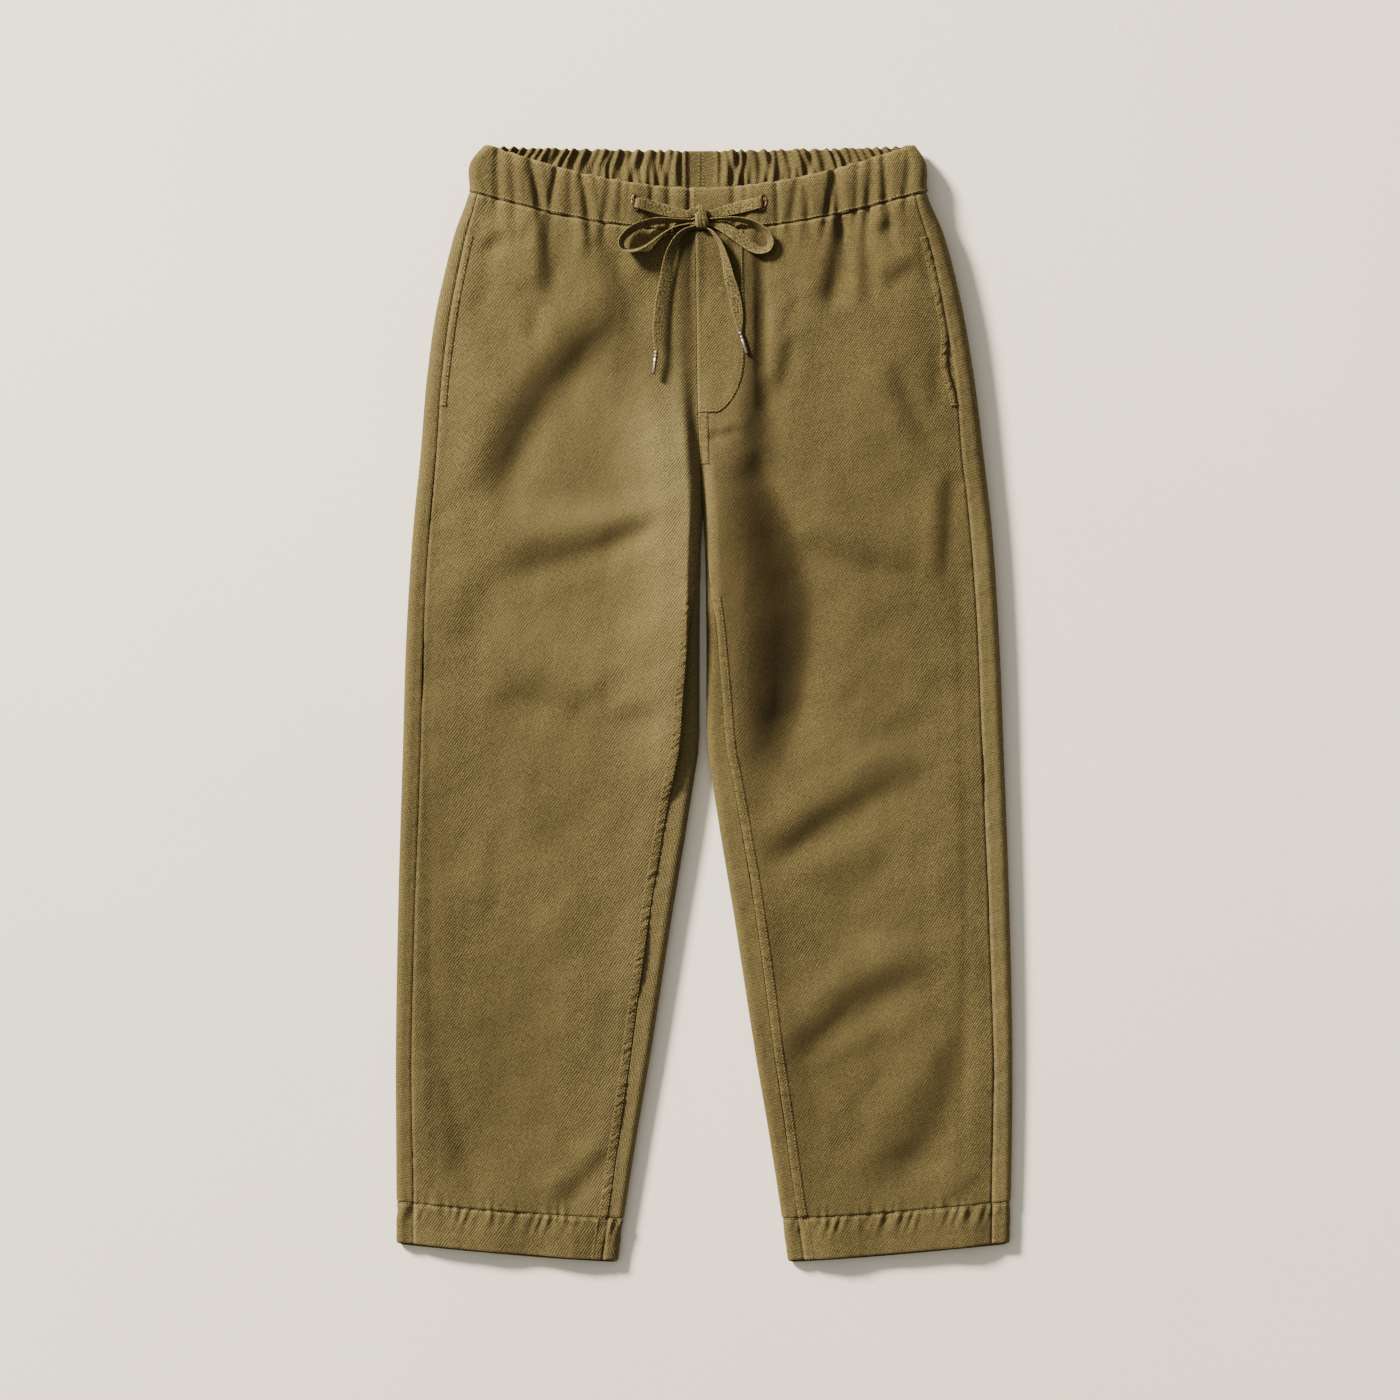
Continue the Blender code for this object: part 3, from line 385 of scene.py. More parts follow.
def herringbone_group():
    """The tape's zigzag weave, in rows along it."""
    group, wires, given, out = new_group(
        "Herringbone tape", [("Vector", VECTOR, None), ("Pitch", FLOAT, 0.0013)],
        [("Height", FLOAT), ("Edge", FLOAT)])
    apart = wires.add("ShaderNodeSeparateXYZ")
    wires.put(apart.inputs[0], given["Vector"])
    rows = wires.calc("PINGPONG", wires.calc("DIVIDE", apart.outputs[1], given["Pitch"]), 1.0)
    slant = wires.calc("ADD", wires.calc("DIVIDE", apart.outputs[0], given["Pitch"]), rows)
    zigzag = wires.calc("SINE", wires.calc("MULTIPLY", slant, 2 * math.pi))
    fibre = wires.noise(given["Vector"], 1700.0, 2.0, 0.6)
    height = wires.calc("MULTIPLY_ADD", zigzag, 0.3, 0.4)
    wires.put(out["Height"], wires.calc("MULTIPLY_ADD", fibre, 0.4, height))
    from_middle = wires.calc("ABSOLUTE", apart.outputs[1])
    wires.put(out["Edge"], wires.span(from_middle, 0.0034, 0.0050))
    return group


TWILL_GROUP = twill_group()
DYE_GROUP = dye_group()
WEAR_AND_PAINTED_LIGHT_GROUP = wear_and_painted_light_group()
HERRINGBONE_GROUP = herringbone_group()

OLIVE_DEEP = (0.010, 0.0070, 0.0019, 1.0)
OLIVE_PALE = (0.150, 0.1120, 0.0380, 1.0)
# Tint of the painted shade on the folds' shaded slopes and in darker patches
PAINTED_SHADE_TINT = (0.33, 0.30, 0.22, 1.0)
SHEEN_TINT = (0.62, 0.48, 0.24, 1.0)
# Pale olive of worn places, also used for painted light
OLIVE_WORN_AND_PAINTED_LIGHT = (0.205, 0.157, 0.064, 1.0)
THREAD_COLOUR = (0.185, 0.132, 0.045, 1.0)
TAPE_DEEP = (0.010, 0.0070, 0.0019, 1.0)
TAPE_PALE = (0.172, 0.129, 0.045, 1.0)
HOLE_DEEP = (0.006, 0.004, 0.0015, 1.0)
HOLE_PALE = (0.024, 0.017, 0.0065, 1.0)
TIN_DEEP = (0.085, 0.060, 0.040, 1.0)
TIN_PALE = (0.400, 0.330, 0.250, 1.0)
METAL_DEEP = (0.040, 0.020, 0.008, 1.0)
METAL_PALE = (0.300, 0.190, 0.095, 1.0)


def new_material(name, roughness, metallic=0.0, sheen=0.0):
    """A material with its shader, and the wiring to work on it."""
    material = bpy.data.materials.new(name)
    material.use_nodes = True
    wires = Wiring(material.node_tree)
    shader = material.node_tree.nodes["Principled BSDF"]
    shader.inputs["Roughness"].default_value = roughness
    shader.inputs["Metallic"].default_value = metallic
    shader.inputs["Sheen Weight"].default_value = sheen
    shader.inputs["Sheen Roughness"].default_value = 0.55
    shader.inputs["Sheen Tint"].default_value = SHEEN_TINT
    shader.inputs["Specular IOR Level"].default_value = 0.5 if metallic else 0.12
    return material, wires, shader


def bumped(wires, shader, *layers):
    """Bumps one over another: (height, distance, strength) for each."""
    normal = None
    for height, distance, strength in layers:
        bump = wires.add("ShaderNodeBump")
        bump.inputs["Distance"].default_value = distance
        bump.inputs["Strength"].default_value = strength
        wires.put(bump.inputs["Height"], height)
        if normal is not None:
            wires.put(bump.inputs["Normal"], normal)
        normal = bump.outputs[0]
    wires.put(shader.inputs["Normal"], normal)


def cloth_material(name, tone=1.0, climb=55.0):
    """The brown-olive cotton twill, on a piece's own UV map and worn places, with painted light and painted shade from
    its masks.
    """
    material, wires, shader = new_material(name, 0.9, sheen=0.12)
    uv = wires.add("ShaderNodeUVMap", uv_map="UVMap").outputs[0]
    place = wires.add("ShaderNodeTexCoord").outputs["Object"]
    # The wear mask also carries painted light, and the hollow mask carries painted shade
    worn = wires.add("ShaderNodeAttribute", attribute_name="wear_and_painted_light").outputs["Fac"]
    hollow = wires.add("ShaderNodeAttribute", attribute_name="hollow").outputs["Fac"]
    weave = wires.use(TWILL_GROUP, Vector=uv, Pitch=0.0020, Climb=climb).outputs
    shade = wires.use(DYE_GROUP, Vector=place, Streaks=0.5).outputs[0]
    mask = wires.use(WEAR_AND_PAINTED_LIGHT_GROUP, Vector=uv, Wear=worn).outputs[0]
    mixed = wires.calc("MULTIPLY_ADD", shade, 0.25, wires.calc("MULTIPLY_ADD", weave["Rib"], 0.42, -0.035))
    mixed = wires.calc("MULTIPLY_ADD", weave["Slub"], 0.4, mixed)
    deep = tuple(channel * tone for channel in OLIVE_DEEP[:3]) + (1.0,)
    pale = tuple(channel * tone for channel in OLIVE_PALE[:3]) + (1.0,)
    colour = wires.blend(mixed, deep, pale)
    # Worn places and painted light both pale the cloth towards the worn olive
    colour = wires.blend(wires.calc("MULTIPLY", mask, 0.75), colour, OLIVE_WORN_AND_PAINTED_LIGHT)
    # Painted shade: the hollow mask darkens the cloth with the shade tint
    colour = wires.blend(hollow, colour, PAINTED_SHADE_TINT, way="MULTIPLY")
    wires.put(shader.inputs["Base Color"], colour)
    wires.put(shader.inputs["Roughness"], wires.span(weave["Height"], 0.0, 1.2, 0.96, 0.84))
    crumple = wires.noise(place, 60.0, 2.0, 0.45)
    bumped(wires, shader, (crumple, 0.0026, 0.6), (weave["Height"], 0.00042, 1.0))
    return material


def tape_material():
    """Woven cotton tape, a little lighter than the cloth, pale along its selvedges."""
    material, wires, shader = new_material("woven tape", 0.88, sheen=0.15)
    uv = wires.add("ShaderNodeUVMap", uv_map="UVMap").outputs[0]
    weave = wires.use(HERRINGBONE_GROUP, Vector=uv, Pitch=0.0015).outputs
    place = wires.add("ShaderNodeTexCoord").outputs["Object"]
    clouds = wires.span(wires.noise(place, 120.0, 3.0), 0.3, 0.7)
    speckle = wires.span(wires.noise(uv, 620.0, 2.0, 0.6), 0.38, 0.62)
    mixed = wires.calc("MULTIPLY_ADD", weave["Height"], 0.6, wires.calc("MULTIPLY_ADD", clouds, 0.15, -0.45))
    mixed = wires.calc("MULTIPLY_ADD", speckle, 0.9, mixed)
    mixed = wires.calc("MULTIPLY_ADD", weave["Edge"], 0.3, mixed)
    wires.put(shader.inputs["Base Color"], wires.blend(mixed, TAPE_DEEP, TAPE_PALE))
    wires.put(shader.inputs["Roughness"], wires.span(weave["Height"], 0.0, 1.0, 0.95, 0.82))
    bumped(wires, shader, (weave["Height"], 0.0004, 0.9))
    return material


def thread_material():
    """Sewing thread, twisted, a shade lighter than the cloth."""
    material, wires, shader = new_material("sewing thread", 0.7, sheen=0.1)
    place = wires.add("ShaderNodeTexCoord").outputs["Object"]
    fibre = wires.noise(place, 2200.0, 3.0, 0.6)
    deep = tuple(channel * 0.62 for channel in THREAD_COLOUR[:3]) + (1.0,)
    wires.put(shader.inputs["Base Color"], wires.blend(fibre, deep, THREAD_COLOUR))
    bumped(wires, shader, (fibre, 0.0002, 0.6))
    return material


def hole_material():
    """The small dark dips where the needle went in."""
    material, wires, shader = new_material("needle holes", 0.95)
    place = wires.add("ShaderNodeTexCoord").outputs["Object"]
    wires.put(shader.inputs["Base Color"], wires.blend(wires.noise(place, 1200.0), HOLE_DEEP, HOLE_PALE))
    return material


def metal_material(name, pale, deep, roughness):
    """Antiqued metal: bright where it is rubbed, brown in its hollows."""
    material, wires, shader = new_material(name, roughness, metallic=1.0)
    place = wires.add("ShaderNodeTexCoord").outputs["Object"]
    tarnish = wires.span(wires.noise(place, 520.0, 4.0, 0.6), 0.38, 0.66)
    wires.put(shader.inputs["Base Color"], wires.blend(tarnish, deep, pale))
    wires.put(shader.inputs["Roughness"], wires.span(tarnish, 0.0, 1.0, roughness + 0.2, roughness))
    bumped(wires, shader, (wires.noise(place, 1400.0, 3.0), 0.0001, 0.5))
    return material


def floor_material():
    """Warm off-white board with a barely visible tooth."""
    material, wires, shader = new_material("warm white board", 0.95)
    place = wires.add("ShaderNodeTexCoord").outputs["Object"]
    clouds = wires.span(wires.noise(place, 2.2, 3.0), 0.3, 0.7)
    tooth = wires.noise(place, 260.0, 4.0, 0.6)
    mixed = wires.calc("MULTIPLY_ADD", tooth, 0.3, wires.calc("MULTIPLY", clouds, 0.7))
    wires.put(shader.inputs["Base Color"], wires.blend(mixed, FLOOR_DEEP, FLOOR_PALE))
    bumped(wires, shader, (tooth, 0.0006, 0.35))
    return material


FLOOR_DEEP = (0.800, 0.735, 0.585, 1.0)
FLOOR_PALE = (0.855, 0.790, 0.635, 1.0)

CLOTH_FACE = cloth_material("olive twill")
CLOTH_STRIP = cloth_material("olive twill strips", tone=1.06)
TAPE = tape_material()
THREAD = thread_material()
NEEDLE_HOLES = hole_material()
EYELET_METAL = metal_material("antique copper", METAL_PALE, METAL_DEEP, 0.32)
AGLET_METAL = metal_material("worn tin", TIN_PALE, TIN_DEEP, 0.3)

# Levels along the side of the garment, measured from its middle
WAIST_TOP = 491.0
WAIST_SEAM = 449.0
FLY_BEND = 323.0
FLY_END = 267.0
POCKET_TOP = 413.0
POCKET_END = 262.0
CROTCH = 169.0
FELL_TOP = 95.0
HEM_STITCH = -439.0
HEM_END = -475.0
CROTCH_FELL_END = 216.0

# Walls and the room between pieces
CLOTH = 1.6
BAND_WALL = 2.2
HEM_WALL = 2.6
STRIP = 0.8
SEAM_GAP = 0.3
REST_GAP = 0.3

# The front hangs lower than the back at the waist, and each leg's hem slants
DIP_AT_SEAM = 34.3
DIP_AT_TOP = 38.0
BACK_DIP_AT_TOP = 3.5
HEM_SLANT = 16.0
BACK_HEM_DROP = 2.5
DIP_POWER = 1.15
SLANT_POWER = 1.3

# Widths of the pieces sewn on the fronts
POCKET_EDGE = 6.5
FLY_WIDTH = 42.0
FELL_WIDTH = 8.5
POCKET_GAPE = 5.0
POCKET_GAPE_LEVEL = 296.0
POCKET_GAPE_REACH = 36.0

# Outline and edge of the folded garment: a row for each level
#   level, half width, middle, edge height, edge roll, side seam inset right, left
OUTLINE = np.array([
    (491.0, 190.0, -3.0, 22.0, 8.0, 6.5, 8.0),
    (479.0, 199.2, -4.2, 24.0, 9.0, 7.0, 9.5),
    (449.0, 201.8, -4.5, 26.0, 10.0, 7.5, 11.0),
    (414.0, 215.0, -3.5, 25.5, 10.0, 10.5, 15.0),
    (379.0, 224.5, -3.0, 24.5, 10.0, 12.0, 16.0),
    (349.0, 231.3, -3.0, 24.0, 10.0, 13.0, 16.7),
    (288.0, 240.9, -2.2, 22.0, 9.5, 13.5, 17.0),
    (214.0, 248.6, -0.8, 20.5, 9.5, 14.2, 19.5),
    (169.0, 253.6, -0.5, 19.5, 9.0, 14.5, 19.5),
    (58.0, 261.3, -0.3, 18.0, 8.5, 15.5, 19.0),
    (-37.0, 264.8, 0.2, 16.5, 8.0, 16.0, 19.5),
    (-186.0, 269.7, 0.7, 15.0, 8.0, 15.0, 18.5),
    (-314.0, 272.0, 1.0, 13.5, 7.5, 14.0, 17.0),
    (-439.0, 271.0, 0.5, 12.0, 6.5, 15.0, 17.0),
    (-475.0, 270.6, 0.0, 11.0, 6.0, 15.0, 16.5),
])
# Half the gap between the legs: height along the garment, half gap
LEG_GAP = np.array([
    (169.0, 0.15), (140.0, 1.6), (100.0, 2.6), (58.0, 3.0), (-26.0, 3.0), (-45.0, 4.2),
    (-62.0, 7.0), (-121.0, 16.2), (-186.0, 27.1), (-253.0, 37.4), (-310.0, 46.2),
    (-373.0, 57.0), (-420.0, 64.5), (-458.0, 70.4), (-492.0, 75.0),
])
# Centre front line: level, x
CENTRE_FRONT = np.array([(491.0, -7.0), (449.0, -7.0), (407.0, -6.2), (254.0, -4.0), (169.0, 0.0)])
CENTRE_BACK = np.array([(491.0, -1.5), (449.0, -1.5), (169.0, 0.0)])
# How far round the inner edge the inseam has climbed onto the front: level, reach
INSEAM_REACH = np.array([(169.0, 0.0), (120.0, 6.0), (80.0, 13.0), (39.0, 17.0), (-475.0, 17.0)])

# Folds of the front: start, middle and end of each slope that faces away from the light, how
# far it drops, half its width at the start, the middle and the end, and how much shade is painted on it
FOLDS = np.array([
    (-139.0, 453.0, -134.0, 407.0, -139.0, 355.0, 6.0, 7.0, 8.8, 7.9, 0.35),
    (-150.0, 355.0, -152.0, 337.0, -156.0, 315.0, 2.5, 7.9, 7.9, 7.0, 0.10),
    (-103.0, 436.0, -71.0, 372.0, -64.0, 280.0, 5.0, 5.3, 10.6, 14.1, 0.25),
    (-66.0, 350.0, -161.0, 286.0, -191.0, 174.0, 9.5, 14.0, 18.0, 14.1, 0.50),
    (-198.0, 121.0, -99.0, 133.0, -36.0, 168.0, 5.5, 14.1, 11.4, 7.9, 0.25),
    (-196.0, 115.0, -205.0, 86.0, -221.0, 47.0, 2.0, 12.3, 15.8, 17.6, 0.10),
    (-189.0, 5.0, -143.0, 18.0, -110.0, 11.0, 3.0, 12.3, 14.1, 10.6, 0.12),
    (-124.0, -8.0, -99.0, 8.0, -80.0, 13.0, 2.0, 8.8, 8.8, 8.8, 0.08),
    (-82.0, -15.0, -55.0, -4.0, -34.0, -8.0, 2.0, 7.9, 7.9, 7.9, 0.10),
    (-196.0, 399.0, -186.0, 407.0, -175.0, 414.0, 2.5, 4.4, 5.3, 5.3, 0.15),
    (-184.0, 383.0, -194.0, 362.0, -203.0, 339.0, 1.6, 7.0, 7.0, 7.0, 0.05),
    (-13.0, 456.0, -12.5, 355.0, -10.0, 233.0, 6.5, 6.5, 7.0, 6.5, 1.00),
    (42.0, 424.0, 45.0, 330.0, 45.0, 246.0, 8.0, 9.0, 9.5, 10.0, 0.80),
    (46.0, 282.0, 47.0, 232.0, 41.0, 192.0, 6.0, 11.0, 14.0, 13.0, 0.45),
    (25.0, 215.0, 86.0, 90.0, 48.0, -66.0, 17.0, 16.0, 31.0, 16.0, 0.96),
    (82.0, 152.0, 129.0, 124.0, 195.0, 121.0, 4.0, 10.6, 11.4, 10.6, 0.22),
    (212.0, 205.0, 212.0, 165.0, 207.0, 99.0, 3.5, 7.9, 7.0, 7.0, 0.25),
    (163.0, 302.0, 171.0, 258.0, 207.0, 205.0, 3.5, 8.8, 8.8, 10.6, 0.15),
    (119.0, 447.0, 115.0, 390.0, 103.0, 344.0, 7.0, 7.0, 9.7, 8.8, 0.40),
    (136.0, 414.0, 140.0, 381.0, 143.0, 344.0, 3.0, 7.0, 7.0, 7.0, 0.15),
    (152.0, 414.0, 160.0, 422.0, 168.0, 430.0, 2.4, 6.2, 6.2, 6.2, 0.12),
    (156.0, 367.0, 170.0, 379.0, 186.0, 388.0, 2.4, 7.0, 7.0, 7.0, 0.10),
    (74.0, 326.0, 70.0, 300.0, 60.0, 268.0, 3.0, 7.0, 7.9, 8.8, 0.15),
    (54.0, -140.0, 90.0, -102.0, 195.0, -46.0, 6.5, 10.6, 13.2, 15.8, 0.34),
    (108.0, -168.0, 140.0, -149.0, 168.0, -126.0, 2.2, 12.3, 12.3, 12.3, 0.08),
    (75.0, -315.0, 110.0, -260.0, 207.0, -226.0, 6.5, 10.6, 14.1, 14.1, 0.34),
    (224.0, -282.0, 212.0, -358.0, 149.0, -427.0, 6.0, 8.8, 17.6, 15.8, 0.28),
    (240.0, -413.0, 231.0, -427.0, 216.0, -436.0, 2.0, 7.0, 7.0, 7.0, 0.10),
    (108.0, -385.0, 128.0, -378.0, 145.0, -367.0, 1.8, 10.6, 10.6, 10.6, 0.05),
    (-240.0, -253.0, -239.0, -385.0, -196.0, -443.0, 3.0, 10.6, 10.6, 12.3, 0.15),
    (-133.0, -443.0, -105.0, -416.0, -82.0, -388.0, 3.5, 8.8, 8.8, 8.8, 0.15),
    (-156.0, -214.0, -121.0, -222.0, -80.0, -216.0, 1.4, 17.6, 17.6, 17.6, 0.05),
    (-168.0, -392.0, -150.0, -404.0, -130.0, -407.0, 1.4, 12.3, 12.3, 12.3, 0.00),
])
FOLD_ENDS = 0.3
FOLD_CREST = 1.25
LEAST_HEIGHT = 6.0
# The cloth stays low under the bow and its tails
BOW_MIDDLE = (-2.0, 362.0)
BOW_REACH = (66.0, 92.0)

# Smaller creases, in the same columns
SMALL_CREASES = np.array([
    (-11.0, 270.0, -11.0, 120.0, -16.0, -60.0, 8.0, 44.0, 9.0),
    (60.0, 390.0, 66.0, 340.0, 60.0, 292.0, 3.0, 7.0, 10.0),
    (-196.0, 410.0, -190.0, 402.0, -180.0, 398.0, -1.8, 6.0, 9.0),
    (-188.0, 392.0, -196.0, 372.0, -199.0, 350.0, -1.2, 7.0, 9.0),
    (-170.0, 418.0, -163.0, 398.0, -160.0, 372.0, 1.0, 7.0, 8.0),
    (-148.0, 440.0, -150.0, 424.0, -155.0, 408.0, -1.6, 5.0, 7.0),
    (-112.0, 438.0, -110.0, 424.0, -104.0, 408.0, 1.6, 5.0, 8.0),
    (-104.0, 434.0, -100.0, 416.0, -96.0, 400.0, -1.2, 5.0, 7.0),
    (-72.0, 428.0, -66.0, 410.0, -56.0, 390.0, 1.4, 7.0, 9.0),
    (-62.0, 404.0, -58.0, 376.0, -50.0, 352.0, -1.4, 8.0, 10.0),
    (26.0, 384.0, 22.0, 372.0, 14.0, 364.0, -1.0, 5.0, 7.0),
    (30.0, 362.0, 24.0, 350.0, 16.0, 342.0, 0.9, 5.0, 6.0),
    (26.0, 239.0, 18.0, 235.0, 9.0, 234.0, -2.6, 4.0, 6.0),
    (36.0, 246.0, 28.0, 242.0, 18.0, 240.0, 1.6, 5.0, 5.0),
    (72.0, 424.0, 78.0, 404.0, 78.0, 380.0, 1.6, 7.0, 9.0),
    (84.0, 352.0, 76.0, 336.0, 66.0, 322.0, -1.2, 6.0, 9.0),
    (148.0, 436.0, 146.0, 424.0, 142.0, 410.0, -1.2, 5.0, 7.0),
    (160.0, 414.0, 166.0, 408.0, 172.0, 402.0, -1.8, 5.0, 9.0),
    (190.0, 420.0, 196.0, 396.0, 200.0, 372.0, -1.2, 6.0, 9.0),
    (206.0, 304.0, 208.0, 282.0, 204.0, 262.0, -1.6, 8.0, 8.0),
    (-238.0, 120.0, -243.0, -20.0, -241.0, -160.0, -0.7, 5.0, 6.0),
    (-241.0, -160.0, -238.0, -290.0, -236.0, -420.0, -0.7, 5.0, 6.0),
    (224.0, 130.0, 228.0, 0.0, 232.0, -130.0, -0.6, 5.0, 6.0),
    (232.0, -130.0, 232.0, -270.0, 228.0, -420.0, -0.7, 5.0, 6.0),
    (-150.0, 64.0, -120.0, 52.0, -84.0, 42.0, -0.9, 12.0, 16.0),
    (-196.0, -70.0, -176.0, -120.0, -182.0, -180.0, -0.8, 10.0, 12.0),
    (-120.0, -110.0, -96.0, -150.0, -92.0, -200.0, -0.9, 12.0, 16.0),
    (-180.0, -240.0, -150.0, -262.0, -118.0, -270.0, -0.9, 10.0, 16.0),
    (-150.0, -330.0, -128.0, -352.0, -116.0, -384.0, -0.9, 9.0, 13.0),
    (60.0, -20.0, 92.0, -6.0, 130.0, 2.0, -1.4, 10.0, 18.0),
    (150.0, 30.0, 176.0, 18.0, 206.0, 14.0, -1.2, 9.0, 14.0),
    (118.0, -60.0, 152.0, -28.0, 190.0, -18.0, -1.2, 9.0, 16.0),
    (100.0, -330.0, 128.0, -318.0, 160.0, -298.0, -1.3, 9.0, 14.0),
    (118.0, -372.0, 140.0, -352.0, 158.0, -330.0, -1.1, 8.0, 12.0),
    (200.0, -280.0, 210.0, -300.0, 214.0, -322.0, -1.0, 8.0, 10.0),
    (160.0, -404.0, 184.0, -398.0, 206.0, -404.0, -1.0, 7.0, 9.0),
])
# Patches of painted light and painted shade: x, y, reach along x and y, and how much light is painted (below 0, how
# much shade)
PAINTED_LIGHT_AND_SHADE_PATCHES = np.array([
    (-20.0, 179.0, 38.0, 100.0, 0.95), (-52.0, 240.0, 30.0, 60.0, 0.45), (-126.0, 170.0, 56.0, 18.0, 0.40),
    (-143.0, 66.0, 44.0, 22.0, 0.35), (-226.0, 300.0, 20.0, 64.0, 0.20), (-58.0, 20.0, 26.0, 90.0, 0.35),
    (150.0, -40.0, 46.0, 14.0, 0.25), (150.0, -208.0, 46.0, 14.0, 0.25), (70.0, 350.0, 14.0, 44.0, 0.25),
    (10.0, 399.0, 42.0, 34.0, -0.45), (191.0, 322.0, 26.0, 60.0, -0.22), (-240.0, -120.0, 26.0, 290.0, -0.46),
    (-190.0, -330.0, 90.0, 100.0, -0.28), (130.0, -330.0, 84.0, 100.0, -0.26), (30.0, 178.0, 23.0, 92.0, -0.60),
    (100.0, -8.0, 70.0, 26.0, -0.10), (-85.0, 318.0, 24.0, 26.0, -0.20), (196.0, 424.0, 26.0, 40.0, -0.30),
    (-112.0, 400.0, 22.0, 40.0, -0.16), (66.0, -40.0, 18.0, 34.0, -0.40), (86.0, 130.0, 30.0, 16.0, -0.16),
    (21.0, 100.0, 14.0, 110.0, -0.45), (-38.0, 322.0, 10.0, 40.0, 0.30), (-95.0, 306.0, 26.0, 22.0, -0.28),
    (-11.5, 322.0, 5.0, 86.0, -0.60), (150.0, 60.0, 100.0, 280.0, -0.24),
])
CREASE_STEPS = 8
LIT_SIDE = np.array([-0.7431, 0.6691])

# Gathers along the front of the waistband: x, depth, spread, lean towards the top
FRONT_GATHERS = np.array([
    (-182.0, 1.6, 4.0, 2.0), (-166.0, 1.2, 4.0, -2.0), (-143.0, 3.0, 4.5, -5.0), (-133.0, 2.2, 3.5, 3.0),
    (-116.0, 1.2, 4.0, 1.0), (-101.0, 2.4, 4.0, -3.0), (-86.0, 1.2, 4.0, 2.0), (-72.0, 0.8, 3.0, 1.0),
    (-47.0, 1.0, 3.5, 2.0), (-27.0, 1.8, 4.0, -2.0), (-10.5, 2.0, 3.0, 0.0), (27.0, 1.6, 3.5, 1.0),
    (38.0, 0.8, 2.5, -1.0), (64.0, 1.0, 3.0, 0.0), (79.0, 1.6, 4.5, 2.0), (93.0, 1.4, 4.0, -2.0),
    (108.0, 2.6, 4.0, 4.0), (121.0, 3.0, 4.0, -3.0), (134.0, 1.0, 3.0, 2.0), (146.0, 1.8, 4.5, 1.0),
    (163.0, 2.0, 4.0, -3.0), (180.0, 1.4, 4.0, 2.0),
])
GATHER_FADE = 26.0
# Gathers of the back of the waistband, on each half
BACK_GATHERS = 14
BACK_GATHER_DEPTH = 6.2
STEPS_A_GATHER = 20
PLAIN_BY_CENTRE_BACK = 9.0

# How finely the finished sheets are laid
ROW_STEP = 3.4
COLUMN_STEP = 3.2
ARC_STEPS = 24
FLAT_STEPS = 121
GRAIN_X = 130.0

# Columns of a run across the garment
X, Y, Z, AWAY, UP, REACH, GATHER, LENGTH = range(8)


def ease(t):
    """0 to 1 with no slope at either end."""
    t = np.clip(t, 0.0, 1.0)
    return t * t * (3.0 - 2.0 * t)


def bell(distance, spread):
    """1 at no distance, falling softly to 0."""
    return np.exp(-((distance / spread) ** 2))


def outline(level):
    """Half width, middle, edge height, edge roll and seam insets at a level."""
    return [float(smooth_table(level, OUTLINE[:, 0], OUTLINE[:, k])) for k in range(1, 7)]


def folds(x, y):
    """Height of the front's folds, each falling from a crest to a trough, and the shade painted on their slopes that
    face away from the light.
    """
    spots = np.stack([x, y], axis=-1)
    total, depth = np.zeros(x.shape), np.zeros(x.shape)
    for row in FOLDS:
        drop, widths = row[6], row[7:10]
        far = 4.5 * widths.max()
        corners = row[:6].reshape(3, 2)
        near = np.all((spots > corners.min(axis=0) - far) & (spots < corners.max(axis=0) + far), axis=-1)
        if not near.any():
            continue
        close = spots[near]
        t = np.linspace(0.0, 1.0, CREASE_STEPS + 1)[:, None]
        line = (1 - t) ** 2 * corners[0] + 2 * t * (1 - t) * corners[1] + t * t * corners[2]
        nearest = np.full(len(close), 1e9)
        aside, beyond, share = np.zeros(len(close)), np.zeros(len(close)), np.zeros(len(close))
        for k, (a, b) in enumerate(zip(line[:-1], line[1:])):
            ahead = (b - a) / np.linalg.norm(b - a)
            normal = np.array([ahead[1], -ahead[0]])
            normal = -normal if normal @ LIT_SIDE > 0 else normal
            along = np.clip((close - a) @ (b - a) / ((b - a) @ (b - a)), 0.0, 1.0)
            away = close - (a + along[:, None] * (b - a))
            distance = np.linalg.norm(away, axis=1)
            closer = distance < nearest
            nearest = np.where(closer, distance, nearest)
            over = np.where((k == 0) & (along == 0) | (k == CREASE_STEPS - 1) & (along == 1), away @ ahead, 0.0)
            side = np.where(over == 0.0, np.sign(away @ normal) * distance, away @ normal)
            aside, beyond = np.where(closer, side, aside), np.where(closer, over, beyond)
            share = np.where(closer, (k + along) / CREASE_STEPS, share)
        wide = np.interp(share, (0.0, 0.5, 1.0), widths)
        place = aside / (wide * np.where(aside < 0, FOLD_CREST, 1.0))
        shape = -place * np.exp(0.5 - place * place / 2)
        taper = ease(0.2 + share / FOLD_ENDS) * ease(0.2 + (1.0 - share) / FOLD_ENDS) * bell(beyond, wide)
        total[near] += drop / 2 * shape * taper
        # Painted shade on the slope that faces away from the light, with a sharp edge at the trough where the shade
        # column is large
        crisp = np.where(place > 0.1, 2.4 + 11.0 * max(row[10] - 0.6, 0.0), 2.4)
        inside = row[10] * np.exp(-(np.abs(place - 0.1) / 1.1) ** crisp) * taper
        depth[near] = 1.0 - (1.0 - depth[near]) * (1.0 - inside)
    return total, depth


